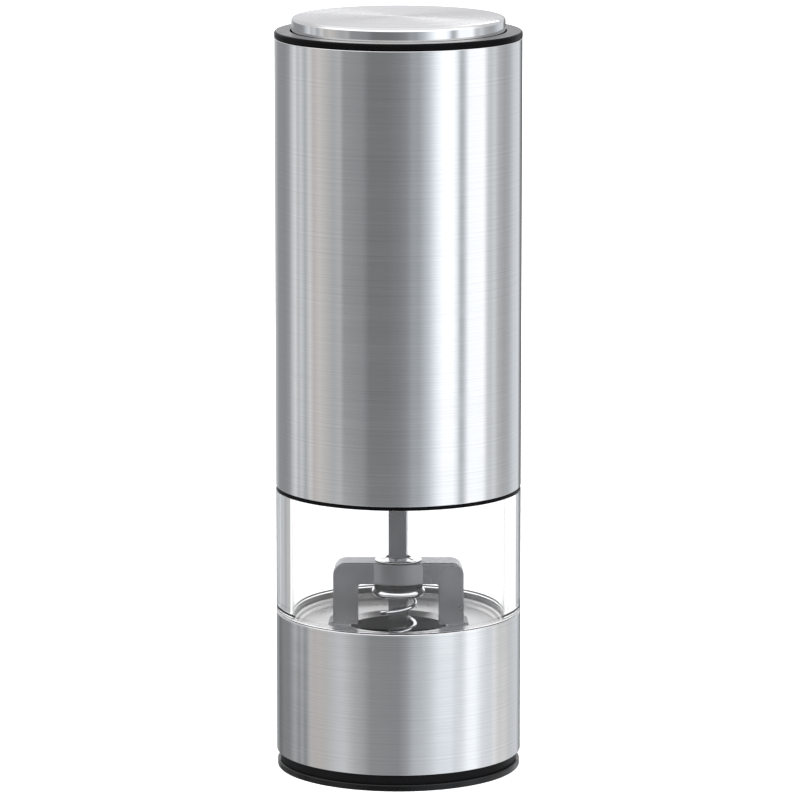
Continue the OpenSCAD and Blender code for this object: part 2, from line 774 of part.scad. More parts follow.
// Push-on clip that carries the shaft on the boss
module shaft_clip() {
  color([0.85, 0.85, 0.86]) translate([0, 0, z_boss_top + run_gap]) rotate(shaft_turn)
    difference() {
      cylinder(h = clip_t, d = clip_d);
      translate([0, 0, -over]) square_bar(shaft_w + 2 * fit_gap, clip_t + 2 * over);
    }
}

// Turned cup that the spring's top curl sits in
module spring_cup() {
  chamfer = cup_h / 5;
  recess_r = spring_d / 2 + free_gap;
  color([0.8, 0.8, 0.82]) translate([0, 0, z_cup]) rotate(shaft_turn) difference() {
    rotate_extrude() polygon([
      [0, 0], [cup_r - chamfer, 0], [cup_r, chamfer], [cup_r, cup_h - 2 * chamfer],
      [cup_r - 2 * chamfer, cup_h], [0, cup_h]
    ]);
    translate([0, 0, -over]) cylinder(h = cup_recess + over, r = recess_r);
    translate([0, 0, -over]) square_bar(shaft_w + 2 * fit_gap, cup_h + 2 * over);
  }
}

module burr_spring() {
  color([0.85, 0.85, 0.87]) translate([0, 0, z_stem_top + fit_gap])
    wound_wire(spring_r, spring_wire, spring_h, spring_turns, spring_end_rise);
}

// Turning toothed cone
module inner_burr() {
  fine_share = 0.5;
  z_fine = z_turning + turning_h * fine_share;
  fine_r = inner_burr_r + (inner_burr_top_r - inner_burr_r) * fine_share;
  tooth_half = PI * inner_burr_r / inner_teeth * cut_share;
  flute_half = PI * inner_burr_top_r / feed_flutes * cut_share;
  color([0.9, 0.89, 0.86]) difference() {
    rotate_extrude() polygon([
      [stem_r + fit_gap, z_turning], [inner_burr_r, z_turning],
      [inner_burr_top_r, z_turning + turning_h], [stem_r + fit_gap, z_turning + turning_h]
    ]);
    cone_cuts(inner_teeth, inner_burr_r, fine_r, z_turning, z_fine, tooth_depth, tooth_half,
      false, -tooth_slant);
    cone_cuts(feed_flutes, inner_burr_r, inner_burr_top_r, z_turning, z_turning + turning_h,
      flute_depth, flute_half, false, -tooth_slant);
  }
}

// Hub that turns with the square shaft, carries the cone and takes the spring
module burr_carrier() {
  color([0.12, 0.12, 0.13]) difference() {
    union() {
      translate([0, 0, z_flange_low]) cylinder(h = flange_t, r = flange_r);
      translate([0, 0, z_flange_low]) cylinder(h = z_stem_top - z_flange_low, r = stem_r);
    }
    translate([0, 0, z_flange_low - over]) rotate(shaft_turn)
      square_bar(shaft_w + 2 * slide_gap, z_stem_top - z_flange_low + 2 * over);
  }
}

// Fluted nut that sets how fine the pepper is ground
module adjust_knob() {
  chamfer = knob_h / 8;
  color([0.1, 0.1, 0.11]) difference() {
    translate([0, 0, z_knob]) rotate_extrude() polygon([
      [thread_r + fit_gap, 0], [knob_r - chamfer, 0], [knob_r, chamfer],
      [knob_r, knob_h - chamfer], [knob_r - chamfer, knob_h], [thread_r + fit_gap, knob_h]
    ]);
    around(knob_flutes) translate([knob_r + knob_flute_r / 3, 0, z_knob - over])
      cylinder(h = knob_h + 2 * over, r = knob_flute_r, $fn = 24);
  }
}

// Moulding that closes the hopper, holds the gearbox and carries the battery posts
module chassis() {
  plate_z = z_neck_top + stage_gap;
  well_r = gearbox_r + free_gap;
  color([0.09, 0.09, 0.1]) difference() {
    union() {
      rotate_extrude() polygon([
        [skirt_in_r, z_flange], [body_r - flange_inset, z_flange], [body_r - flange_inset, z_upper],
        [skirt_r, z_upper], [skirt_r, plate_z + plate_t], [well_r, plate_z + plate_t],
        [well_r, z_gearbox], [hub_r + free_gap, z_gearbox], [hub_r + free_gap, z_well],
        [well_r + well_wall, z_well], [well_r + well_wall, plate_z], [skirt_in_r, plate_z]
      ]);
      around(4) translate([post_ring_r, 0, plate_z]) cylinder(h = z_carrier - plate_z, r = post_r);
    }
    around(4) translate([post_ring_r, 0, z_carrier - carrier_screw_h])
      cylinder(h = carrier_screw_h + over, r = carrier_screw_r + fit_gap);
    around(planet_count, half_space) translate([gearbox_screw_ring_r, 0, z_well - over])
      cylinder(h = well_floor + 2 * over, r = gearbox_screw_r + fit_gap);
  }
}

// Gear housing with the ring gear of both stages cut into its wall
module gearbox_housing() {
  color([0.16, 0.16, 0.17]) difference() {
    translate([0, 0, z_gearbox]) cylinder(h = z_motor_plate - z_gearbox, r = gearbox_r);
    translate([0, 0, z_gearbox + gearbox_floor]) linear_extrude(z_motor_plate - z_gearbox)
      ring_profile();
    translate([0, 0, z_gearbox - over]) cylinder(h = gearbox_floor + 2 * over, r = hub_r + fit_gap);
    around(planet_count, half_space) translate([gearbox_screw_ring_r, 0, z_gearbox - over])
      cylinder(h = z_motor - z_gearbox + 2 * over, r = gearbox_screw_r + fit_gap);
  }
}

// Steel plate that closes the gearbox and carries the motor
module motor_plate() {
  color([0.65, 0.65, 0.66]) translate([0, 0, z_motor_plate]) difference() {
    cylinder(h = motor_plate_t, r = gearbox_r);
    translate([0, 0, -over]) cylinder(h = motor_plate_t + 2 * over, r = motor_boss_r + fit_gap);
    around(planet_count, half_space) translate([gearbox_screw_ring_r, 0, -over])
      cylinder(h = motor_plate_t + 2 * over, r = gearbox_screw_r + fit_gap);
    for (s = [-1, 1]) translate([s * motor_screw_x, 0, -over]) {
      cylinder(h = motor_plate_t + 2 * over, r = motor_screw_r + fit_gap);
      cylinder(h = over + motor_plate_t / 2, r = 2 * motor_screw_r + fit_gap);
    }
  }
}

// Long screws through plate and housing into the chassis
module gearbox_screws() {
  color([0.6, 0.6, 0.62]) around(planet_count, half_space)
    translate([gearbox_screw_ring_r, 0, z_motor])
      screw(gearbox_screw_r, z_motor - z_well, gearbox_head_r, head_h);
}

// Short screws up through the plate into the motor
module motor_screws() {
  color([0.6, 0.6, 0.62]) for (s = [-1, 1])
    translate([s * motor_screw_x, 0, z_motor_plate + motor_plate_t / 2]) mirror([0, 0, 1])
      screw(motor_screw_r, motor_screw_h, 2 * motor_screw_r, motor_plate_t / 2);
}

// Round motor outline with two flats
module motor_outline(inset) {
  intersection() {
    circle(d = motor_d - 2 * inset);
    square([motor_d, motor_flat_w - 2 * inset], center = true);
  }
}

module motor_can() {
  color([0.7, 0.7, 0.71]) difference() {
    union() {
      translate([0, 0, z_motor]) linear_extrude(motor_can_h) motor_outline(0);
      translate([0, 0, z_motor - motor_boss_h]) cylinder(h = motor_boss_h + motor_wall, r = motor_boss_r);
    }
    translate([0, 0, z_motor + 2 * motor_wall]) linear_extrude(motor_can_h) motor_outline(motor_wall);
    translate([0, 0, z_motor - 2 * over])
      cylinder(h = 2 * over + 3 * motor_wall, r = motor_shaft_r + fit_gap);
    for (s = [-1, 1]) translate([s * motor_screw_x, 0, z_motor - over])
      cylinder(h = over + 3 * motor_wall, r = motor_screw_r + fit_gap);
  }
}

// Two curved magnets on the round walls of the can
module motor_magnets() {
  out_r = motor_d / 2 - motor_wall - fit_gap;
  magnet_h = motor_can_h - 2 * magnet_inset;
  color([0.25, 0.25, 0.26]) translate([0, 0, z_motor + magnet_inset])
    intersection() {
      ring(out_r, out_r - magnet_t, magnet_h);
      translate([-motor_d, -motor_flat_w / 2 + motor_wall + free_gap, -over])
        cube([2 * motor_d, motor_flat_w - 2 * motor_wall - 2 * free_gap, magnet_h + 2 * over]);
      union() for (s = [-1, 1]) translate([s * motor_d / 2, 0, 0])
        cube([motor_d - 2 * motor_wall, motor_d, 3 * magnet_h], center = true);
    }
}

// Black end cap with slots for the terminals
module motor_end() {
  color([0.12, 0.12, 0.13]) difference() {
    translate([0, 0, z_motor_end]) linear_extrude(motor_end_h) motor_outline(0);
    translate([0, 0, z_motor_end - over])
      cylinder(h = over + motor_end_h / 2, r = motor_shaft_r + fit_gap);
    for (s = [-1, 1]) translate([s * terminal_x, 0, z_motor_end + motor_end_h / 2])
      cube([terminal_t + 2 * fit_gap, terminal_w + 2 * fit_gap, 2 * motor_end_h], center = true);
  }
}

// Pair of upright bars on both sides of the axis, with a gap all round where they cut a slot
module flat_bars(x, t, w, z_low, z_high, gap) {
  for (s = [-1, 1]) translate([s * x - t / 2 - gap, -w / 2 - gap, z_low - gap])
    cube([t + 2 * gap, w + 2 * gap, z_high - z_low + 2 * gap]);
}

// Tabs of the motor, which plug into the battery carrier
module motor_terminals() {
  color([0.8, 0.7, 0.4])
    flat_bars(terminal_x, terminal_t, terminal_w, z_motor_end + fit_gap, z_carrier + terminal_in, 0);
}

// Motor shaft and its slotted armature
module rotor() {
  z_armature = z_motor + armature_inset;
  armature_h = motor_can_h - 2 * armature_inset;
  z_low = z_first + gear_gap;
  color([0.55, 0.5, 0.48]) union() {
    translate([0, 0, z_low]) cylinder(h = z_motor_end + motor_end_h / 3 - z_low, r = motor_shaft_r);
    translate([0, 0, z_armature]) difference() {
      cylinder(h = armature_h, r = armature_r);
      around(3) translate([armature_r / 2, -slot_w, -over])
        cube([armature_r, 2 * slot_w, armature_h + 2 * over]);
    }
  }
}

// Pinion on the motor shaft
module sun_gear() {
  color([0.85, 0.7, 0.4]) translate([0, 0, z_first + gear_gap / 2]) linear_extrude(gear_w)
    difference() {
      gear_profile(sun_teeth);
      circle(motor_shaft_r + fit_gap);
    }
}

// First planet carrier, with the second stage's sun gear under it
module first_carrier() {
  z_low = z_second + gear_gap / 2;
  color([0.88, 0.88, 0.85]) difference() {
    union() {
      translate([0, 0, z_first_plate]) cylinder(h = carrier_t, r = carrier_r);
      planet_pins(z_first_plate);
      translate([0, 0, z_low]) linear_extrude(z_first_plate - z_low + carrier_t / 2)
        gear_profile(sun_teeth);
    }
    around(planet_count, half_space) translate([planet_orbit, 0, z_first_plate - over])
      cylinder(h = carrier_t + 2 * over, r = pin_r);
  }
}

module first_planet_a() {
  color([0.92, 0.92, 0.88]) planet_gear(z_first, 0);
}

module first_planet_b() {
  color([0.92, 0.92, 0.88]) planet_gear(z_first, 1);
}

module first_planet_c() {
  color([0.92, 0.92, 0.88]) planet_gear(z_first, 2);
}

// Output carrier with the hub that runs in the gearbox floor
module output_carrier() {
  z_hub = z_well + free_gap;
  color([0.88, 0.88, 0.85]) difference() {
    union() {
      translate([0, 0, z_out_plate]) cylinder(h = carrier_t, r = carrier_r);
      planet_pins(z_out_plate);
      translate([0, 0, z_hub]) cylinder(h = z_out_plate - z_hub + carrier_t / 2, r = hub_r);
    }
    translate([0, 0, z_hub - over])
      cylinder(h = z_out_plate + carrier_t / 2 - z_hub + over, r = coupling_r + fit_gap);
    around(planet_count, half_space) translate([planet_orbit, 0, z_out_plate - over])
      cylinder(h = carrier_t + 2 * over, r = pin_r);
  }
}

// Socket that the square shaft plugs into
module output_coupling() {
  color([0.06, 0.06, 0.06]) difference() {
    translate([0, 0, z_coupling])
      cylinder(h = z_out_plate + carrier_t / 2 - fit_gap - z_coupling, r = coupling_r);
    translate([0, 0, z_coupling - over]) rotate(shaft_turn)
      square_bar(shaft_w + 2 * socket_slack, socket_depth + over);
  }
}

module second_planet_a() {
  color([0.92, 0.92, 0.88]) planet_gear(z_second, 0);
}

module second_planet_b() {
  color([0.92, 0.92, 0.88]) planet_gear(z_second, 1);
}

module second_planet_c() {
  color([0.92, 0.92, 0.88]) planet_gear(z_second, 2);
}

// Open cage for four cells: two end plates on a fluted column
module battery_carrier() {
  column_h = z_top_plate - z_contact;
  color([0.14, 0.14, 0.15]) difference() {
    union() {
      translate([0, 0, z_carrier]) cylinder(h = carrier_plate_t, r = carrier_plate_r);
      translate([0, 0, z_top_plate]) cylinder(h = carrier_plate_t, r = carrier_plate_r);
      translate([0, 0, z_contact - carrier_plate_t / 2]) linear_extrude(column_h + carrier_plate_t)
        difference() {
          union() {
            circle(column_r);
            for (a = [0, 90]) rotate(a) square([2 * arm_r, arm_t], center = true);
          }
          around(4, 45) translate([cell_ring_r, 0]) circle(cell_d / 2 + trough_gap);
        }
    }
    around(4) translate([post_ring_r, 0, z_carrier - over])
      cylinder(h = carrier_plate_t + 2 * over, r = carrier_screw_r + fit_gap);
    flat_bars(rail_x, contact_t, rail_w, z_carrier - over, z_board + over, fit_gap);
    flat_bars(terminal_x, terminal_t, terminal_w, z_carrier - over, z_carrier + terminal_in, fit_gap);
    bridge_bars(lower_bridge_angles, z_contact + fit_gap, fit_gap);
    bridge_bars(upper_bridge_angles, z_cells_top - fit_gap, fit_gap);
  }
}

module carrier_screws() {
  color([0.6, 0.6, 0.62]) around(4) translate([post_ring_r, 0, z_contact])
    screw(carrier_screw_r, carrier_screw_h, carrier_head_r, carrier_head_h);
}

// One plain cell, standing on its flat end
module cell() {
  can_h = cell_h - cell_button_h;
  rotate_extrude() polygon([
    [0, 0], [cell_d / 2 - cell_edge_r, 0], [cell_d / 2, cell_edge_r],
    [cell_d / 2, can_h - cell_edge_r], [cell_d / 2 - cell_edge_r, can_h],
    [cell_button_r, can_h], [cell_button_r, cell_h], [0, cell_h]
  ]);
}

// Four cells, button up and button down by turns
module battery_cells() {
  color([0.75, 0.55, 0.2]) for (i = [0:3]) rotate(45 + 90 * i)
    translate([cell_ring_r, 0, i % 2 == 0 ? z_cells + contact_spring_h : z_cells + cell_h])
      mirror([0, 0, i % 2]) cell();
}

// Coils that press on the flat ends of the cells
module contact_springs() {
  color([0.85, 0.85, 0.87]) for (i = [0:3]) rotate(45 + 90 * i)
    translate([cell_ring_r, 0, (i % 2 == 0 ? z_cells : z_cells + cell_h) + fit_gap])
      wound_wire(contact_spring_r, contact_wire, contact_spring_h - 2 * fit_gap, contact_turns, 0);
}

// Flat bars that join two neighbouring cells, on the sides that the turns name
module bridge_bars(turns, z, gap) {
  for (a = turns) rotate(a)
    translate([column_r + free_gap - gap, -cell_ring_r / sqrt(2), z - gap])
      cube([strip_w + 2 * gap, sqrt(2) * cell_ring_r, contact_t + 2 * gap]);
}

// Contact pads under or over the cells, with their joining bars
module contact_plates(turns, z) {
  color([0.82, 0.82, 0.8]) difference() {
    union() {
      for (i = [0:3]) rotate(45 + 90 * i) translate([cell_ring_r, 0, z])
        cylinder(h = contact_t, r = contact_pad_r);
      bridge_bars(turns, z, 0);
    }
    translate([0, 0, z - over]) cylinder(h = contact_t + 2 * over, r = column_r + fit_gap);
  }
}

module lower_contacts() {
  contact_plates(lower_bridge_angles, z_contact);
}

module upper_contacts() {
  contact_plates(upper_bridge_angles, z_cells_top);
}

// Two flat rails down the column, from the switch board to the motor's tabs
module supply_rails() {
  color([0.82, 0.75, 0.5])
    flat_bars(rail_x, contact_t, rail_w, z_motor_top + free_gap, z_board - fit_gap, 0);
}

module switch_board() {
  color([0.1, 0.35, 0.2]) translate([0, 0, z_board]) cylinder(h = board_t, r = board_r);
}

module switch_body() {
  color([0.08, 0.08, 0.09]) difference() {
    translate([-switch_w / 2, -switch_w / 2, z_switch]) cube([switch_w, switch_w, switch_h]);
    translate([0, 0, z_key - key_depth - button_travel - fit_gap])
      cylinder(h = key_depth + button_travel + fit_gap + over, r = key_r + run_gap);
  }
}

module switch_key() {
  color([0.75, 0.75, 0.76]) translate([0, 0, z_key - key_depth])
    cylinder(h = key_depth + key_rise, r = key_r);
}

module upper_sleeve() {
  color([0.72, 0.72, 0.73]) steel_tube(z_upper, z_collar - z_upper);
}

// Dark ring on the top of the sleeve, with a skirt inside it
module top_collar() {
  out_r = body_r + collar_out;
  in_r = button_r + free_gap;
  skirt_r = bore_r - fit_gap;
  low_r = skirt_r - collar_skirt_wall;
  step_r = low_r - collar_step;
  color([0.12, 0.12, 0.125]) rotate_extrude() polygon(concat(
    [[in_r, z_collar], [step_r, z_collar], [step_r, z_guide_top], [low_r, z_guide_top],
     [low_r, z_collar - skirt_drop], [skirt_r, z_collar - skirt_drop], [skirt_r, z_collar],
     [out_r, z_collar]],
    arc([out_r - collar_edge_r, z_collar_top - collar_edge_r], collar_edge_r, 0, 90),
    [[in_r, z_collar_top]]
  ));
}

// Plate that guides the button and takes its spring
module button_guide() {
  out_r = bore_r - 2 * fit_gap - collar_skirt_wall;
  color([0.13, 0.13, 0.14]) translate([0, 0, z_guide]) ring(out_r, guide_hole_r, guide_t);
}

// Polished steel cap with a rounded edge
module button_cap() {
  low = z_stop_top + free_gap;
  e = button_edge_r;
  color([0.78, 0.78, 0.79]) rotate_extrude() polygon(concat(
    [[0, z_top - button_wall], [button_r - button_wall - e / 2, z_top - button_wall],
     [button_r - button_wall, z_top - button_wall - e / 2], [button_r - button_wall, low],
     [button_r, low]],
    arc([button_r - e, z_top - e], e, 0, 90),
    [[0, z_top]]
  ));
}

// Moulding in the cap: stop flange, stalk for the switch and locating ring for the spring
module button_core() {
  skirt_out = button_r - button_wall - fit_gap;
  skirt_in = skirt_out - core_wall;
  e = button_edge_r;
  z_plate_top = z_top - button_wall - fit_gap;
  color([0.13, 0.13, 0.14]) rotate_extrude() polygon([
    [0, z_key_top + fit_gap], [stalk_r, z_key_top + fit_gap], [stalk_r, z_core_plate],
    [skirt_in, z_core_plate], [skirt_in, z_stop], [button_r + stop_out, z_stop],
    [button_r + stop_out, z_stop_top], [skirt_out, z_stop_top], [skirt_out, z_plate_top - e],
    [skirt_out - e, z_plate_top], [0, z_plate_top]
  ]);
}

module button_spring() {
  color([0.85, 0.85, 0.87]) translate([0, 0, z_guide_top + fit_gap])
    wound_wire(return_r, return_wire, return_h, return_turns, return_end_rise);
}

dust_cap();
grinder_base();
lower_sleeve();
hopper_wall();
seal_ring();
hopper_floor();
yoke();
yoke_screws();
shaft_bush();
outer_burr();
drive_shaft();
shaft_clip();
spring_cup();
burr_spring();
inner_burr();
burr_carrier();
adjust_knob();
chassis();
gearbox_housing();
motor_plate();
gearbox_screws();
motor_screws();
motor_can();
motor_magnets();
motor_end();
motor_terminals();
rotor();
sun_gear();
first_carrier();
first_planet_a();
first_planet_b();
first_planet_c();
output_carrier();
output_coupling();
second_planet_a();
second_planet_b();
second_planet_c();
battery_carrier();
carrier_screws();
battery_cells();
contact_springs();
lower_contacts();
upper_contacts();
supply_rails();
switch_board();
switch_body();
switch_key();
upper_sleeve();
top_collar();
button_guide();
button_cap();
button_core();
button_spring();
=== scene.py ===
"""Looks of the electric pepper grinder, dressed on its packed construction model.

Metres, +Z up, the ground at z = 0. The camera stands on the -Y side, as in the photograph.
"""
import json
import math
import bpy
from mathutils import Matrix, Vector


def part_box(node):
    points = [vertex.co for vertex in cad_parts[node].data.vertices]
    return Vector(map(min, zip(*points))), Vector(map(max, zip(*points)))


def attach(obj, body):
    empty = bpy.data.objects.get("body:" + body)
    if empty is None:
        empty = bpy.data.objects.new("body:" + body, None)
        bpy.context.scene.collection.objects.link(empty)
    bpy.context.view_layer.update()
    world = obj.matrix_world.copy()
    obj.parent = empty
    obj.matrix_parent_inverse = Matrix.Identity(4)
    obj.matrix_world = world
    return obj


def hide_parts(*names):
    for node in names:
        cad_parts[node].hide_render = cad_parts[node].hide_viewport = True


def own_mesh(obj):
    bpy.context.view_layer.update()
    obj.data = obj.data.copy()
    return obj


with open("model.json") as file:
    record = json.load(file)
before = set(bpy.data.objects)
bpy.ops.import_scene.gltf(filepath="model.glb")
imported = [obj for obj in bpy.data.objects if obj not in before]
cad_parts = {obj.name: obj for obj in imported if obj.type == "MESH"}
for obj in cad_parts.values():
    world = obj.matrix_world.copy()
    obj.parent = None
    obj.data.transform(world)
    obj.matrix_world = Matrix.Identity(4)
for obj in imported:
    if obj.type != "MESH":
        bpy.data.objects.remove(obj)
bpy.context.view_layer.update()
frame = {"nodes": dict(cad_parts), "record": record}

MM = 0.001

# Places that the construction model gives
BODY_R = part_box("upper_sleeve")[1].x
WINDOW_LOW, WINDOW_HIGH = (corner.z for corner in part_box("hopper_wall"))
LOWER_BASE, LOWER_TOP = (corner.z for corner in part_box("lower_sleeve"))
UPPER_BASE, UPPER_TOP = (corner.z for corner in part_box("upper_sleeve"))
COLLAR_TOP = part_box("top_collar")[1].z
COLLAR_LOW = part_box("top_collar")[0].z
COLLAR_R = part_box("top_collar")[1].x
BUTTON_LOW, BUTTON_TOP = (corner.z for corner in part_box("button_cap"))
BUTTON_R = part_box("button_cap")[1].x
LID_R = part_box("dust_cap")[1].x
DISH_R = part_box("hopper_floor")[1].x
DISH_LOW, DISH_RIM = (corner.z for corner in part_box("hopper_floor"))
YOKE_LOW, YOKE_TOP = (corner.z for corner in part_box("yoke"))
CLIP_LOW, CLIP_TOP = (corner.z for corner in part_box("shaft_clip"))
CLIP_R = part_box("shaft_clip")[1].x
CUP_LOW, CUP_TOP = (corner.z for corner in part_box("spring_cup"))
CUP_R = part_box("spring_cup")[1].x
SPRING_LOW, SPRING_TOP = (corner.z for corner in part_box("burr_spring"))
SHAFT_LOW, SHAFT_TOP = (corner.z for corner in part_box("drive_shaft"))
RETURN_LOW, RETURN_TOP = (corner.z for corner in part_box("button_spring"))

# Sizes of the modelled pieces
SLEEVE_WALL = 0.6 * MM
SLEEVE_BEVEL = 0.25 * MM
WINDOW_WALL = 3.5 * MM
NECK_WALL = 1.7 * MM
SPIGOT_WALL = 0.5 * MM
FIT = 0.05 * MM
FLANGE_THICK = 0.6 * MM  # the chassis flange, the black line under the upper sleeve
YOKE_HALF = 14.3 * MM
YOKE_LEG = 5.4 * MM
YOKE_DEPTH = 7.0 * MM
YOKE_BAR = 4.8 * MM
BOSS_R = 5.5 * MM
BOSS_WIDE = 7.0 * MM
BUSH_R = 3.7 * MM
MOUTH_R = 10.6 * MM
MOUTH_SHADE_REACH = 0.3 * MM  # how far past the mouth the dish is painted black, as painted shade down the hole
SHAFT_WIDTH = 4.0 * MM
SHAFT_EDGE_R = 2.7 * MM
SHAFT_TURN = -6  # degrees
THREAD_PITCH = 0.7 * MM
THREAD_LONG = 8.65 * MM
SPRING_WIRE = 0.85 * MM
SPRING_R = 3.725 * MM
SPRING_TURNS = 4.499
SPRING_START = -84  # degrees
RETURN_WIRE = 0.7 * MM
RETURN_R = 9.65 * MM
RETURN_TURNS = 3.5
CLOSE_SHARE = 1.65  # how far a spring's closed end turn climbs, in wires
SPIN_STEPS = 144
SMOOTH_ANGLE = math.radians(32)


def alone(piece):
    """Only this piece is selected and active, in object mode."""
    if bpy.context.mode != "OBJECT":
        bpy.ops.object.mode_set(mode="OBJECT")
    bpy.ops.object.select_all(action="DESELECT")
    piece.select_set(True)
    bpy.context.view_layer.objects.active = piece


def added(name):
    """The primitive that was just added, named and in edit mode."""
    piece = bpy.context.active_object
    piece.name = name
    piece.data.name = name
    bpy.ops.object.mode_set(mode="EDIT")
    return piece


def edit_whole(piece):
    """Puts the piece in edit mode with all of it selected."""
    alone(piece)
    bpy.ops.object.mode_set(mode="EDIT")
    bpy.ops.mesh.select_all(action="SELECT")


def turn_selected(radians, axis="Z"):
    """Turns the selection about an axis through the origin."""
    bpy.ops.transform.rotate(value=radians, orient_axis=axis, center_override=(0, 0, 0))


def start_wire(name, point):
    """A single vertex, made by merging a small plane, ready to be extruded along."""
    bpy.ops.object.select_all(action="DESELECT")
    bpy.ops.mesh.primitive_plane_add(size=MM)
    piece = added(name)
    bpy.ops.mesh.select_mode(type="VERT")
    bpy.ops.mesh.select_all(action="SELECT")
    bpy.ops.mesh.merge(type="CENTER")
    bpy.ops.transform.translate(value=point)
    return piece


def extend(step):
    """Extrudes the selection by a step."""
    bpy.ops.mesh.extrude_region_move(TRANSFORM_OT_translate={"value": step})


def turned(name, points, closed=True, steps=SPIN_STEPS):
    """A solid of revolution: a wire through (radius, height) points, spun about the Z axis."""
    route = list(points) + ([points[0]] if closed else [])
    piece = start_wire(name, (route[0][0], 0, route[0][1]))
    for (r0, z0), (r1, z1) in zip(route, route[1:]):
        extend((r1 - r0, 0, z1 - z0))
    bpy.ops.mesh.select_all(action="SELECT")
    bpy.ops.mesh.spin(steps=steps, dupli=False, angle=2 * math.pi, use_auto_merge=True,
                      center=(0, 0, 0), axis=(0, 0, 1))
    bpy.ops.mesh.select_all(action="SELECT")
    bpy.ops.mesh.remove_doubles(threshold=MM / 1000)
    bpy.ops.mesh.normals_make_consistent(inside=False)
    bpy.ops.object.mode_set(mode="OBJECT")
    return piece


def block(name, low, high):
    """A box between two corners, with its object at the origin."""
    bpy.ops.object.select_all(action="DESELECT")
    bpy.ops.mesh.primitive_cube_add(size=1)
    piece = added(name)
    bpy.ops.mesh.select_all(action="SELECT")
    bpy.ops.transform.resize(value=[h - l for l, h in zip(low, high)])
    bpy.ops.transform.translate(value=[(l + h) / 2 for l, h in zip(low, high)])
    bpy.ops.object.mode_set(mode="OBJECT")
    return piece


def rod(name, radius, low, high, sides, x=0.0):
    """An upright cylinder with its object at the origin."""
    bpy.ops.object.select_all(action="DESELECT")
    bpy.ops.mesh.primitive_cylinder_add(vertices=sides, radius=radius, depth=high - low)
    piece = added(name)
    bpy.ops.mesh.select_all(action="SELECT")
    bpy.ops.transform.translate(value=(x, 0, (low + high) / 2))
    bpy.ops.object.mode_set(mode="OBJECT")
    return piece


def pick(piece, mode, chosen):
    """Leaves the piece in edit mode with only the chosen faces or edges selected."""
    alone(piece)
    bpy.ops.object.mode_set(mode="EDIT")
    bpy.ops.mesh.select_mode(type=mode)
    bpy.ops.mesh.select_all(action="DESELECT")
    bpy.ops.object.mode_set(mode="OBJECT")
    mesh = piece.data
    if mode == "FACE":
        for face in mesh.polygons:
            face.select = chosen(face.center, face.normal)
    else:
        for edge in mesh.edges:
            edge.select = chosen(*[mesh.vertices[i].co for i in edge.vertices])
    bpy.ops.object.mode_set(mode="EDIT")


def combine(piece, other, operation):
    """Joins another solid to the piece or cuts it out, and removes that solid."""
    alone(piece)
    step = piece.modifiers.new("Combine", "BOOLEAN")
    step.operation = operation
    step.solver = "EXACT"
    step.object = other
    bpy.ops.object.modifier_apply(modifier=step.name)
    alone(other)
    bpy.ops.object.delete()
    alone(piece)


def round_edges(piece, width, segments, angle):
    """Bevels the edges that are sharper than the angle."""
    alone(piece)
    bevel = piece.modifiers.new("Edge", "BEVEL")
    bevel.width = width
    bevel.segments = segments
    bevel.limit_method = "ANGLE"
    bevel.angle_limit = math.radians(angle)
    bevel.miter_outer = "MITER_ARC"
    bpy.ops.object.modifier_apply(modifier=bevel.name)


def soften(piece, width, segments=2, angle=30):
    """Rounds the sharp edges and shades smooth, with the large faces left true."""
    if width:
        round_edges(piece, width, segments, angle)
    alone(piece)
    bpy.ops.object.shade_smooth_by_angle(angle=SMOOTH_ANGLE)
    true_faces = piece.modifiers.new("True faces", "WEIGHTED_NORMAL")
    true_faces.keep_sharp = True
    bpy.ops.object.modifier_apply(modifier=true_faces.name)


def arc(centre, radius, first, last, count=5):
    """(radius, height) points on a round edge, between two angles in degrees."""
    angles = [math.radians(first + (last - first) * i / count) for i in range(count + 1)]
    return [(centre[0] + radius * math.cos(a), centre[1] + radius * math.sin(a)) for a in angles]


def dress(piece, body, slot_name, material, *nodes):
    """Gives the piece its material and its body, and hides the nodes it stands for."""
    piece.data.materials.clear()
    piece.data.materials.append(material)
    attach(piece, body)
    if nodes:
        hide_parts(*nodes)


def second_finish(piece, material, chosen):
    """The chosen faces get another material."""
    piece.data.materials.append(material)
    for face in piece.data.polygons:
        if chosen(face.center, face.normal):
            face.material_index = len(piece.data.materials) - 1


# Shared effects


def node_group(name, inputs, outputs):
    """A shader group with its sockets: (name, kind, default) in, (name, kind) out."""
    group = bpy.data.node_groups.new(name, "ShaderNodeTree")
    for label, kind, default in inputs:
        socket = group.interface.new_socket(label, in_out="INPUT", socket_type=kind)
        if default is not None:
            socket.default_value = default
    for label, kind in outputs:
        group.interface.new_socket(label, in_out="OUTPUT", socket_type=kind)
    source = group.nodes.new("NodeGroupInput")
    target = group.nodes.new("NodeGroupOutput")
    return group, source, target


def noise(tree, vector, scale, detail, roughness=0.5):
    texture = tree.nodes.new("ShaderNodeTexNoise")
    texture.inputs["Scale"].default_value = scale
    texture.inputs["Detail"].default_value = detail
    texture.inputs["Roughness"].default_value = roughness
    tree.links.new(vector, texture.inputs["Vector"])
    return texture.outputs["Fac"]


def line_noise(tree, distance):
    """Noise along one direction only, the same all across it."""
    texture = tree.nodes.new("ShaderNodeTexNoise")
    texture.noise_dimensions = "1D"
    texture.inputs["Scale"].default_value = 1.0
    texture.inputs["Detail"].default_value = 2.0
    tree.links.new(distance, texture.inputs["W"])
    return texture.outputs["Fac"]


def math_node(tree, operation, first, second):
    node = tree.nodes.new("ShaderNodeMath")
    node.operation = operation
    for socket, value in zip(node.inputs, (first, second)):
        if isinstance(value, (int, float)):
            socket.default_value = value
        else:
            tree.links.new(value, socket)
    return node.outputs["Value"]


def vector_scale(tree, vector, scale):
    node = tree.nodes.new("ShaderNodeVectorMath")
    node.operation = "MULTIPLY"
    tree.links.new(vector, node.inputs[0])
    node.inputs[1].default_value = scale
    return node.outputs["Vector"]


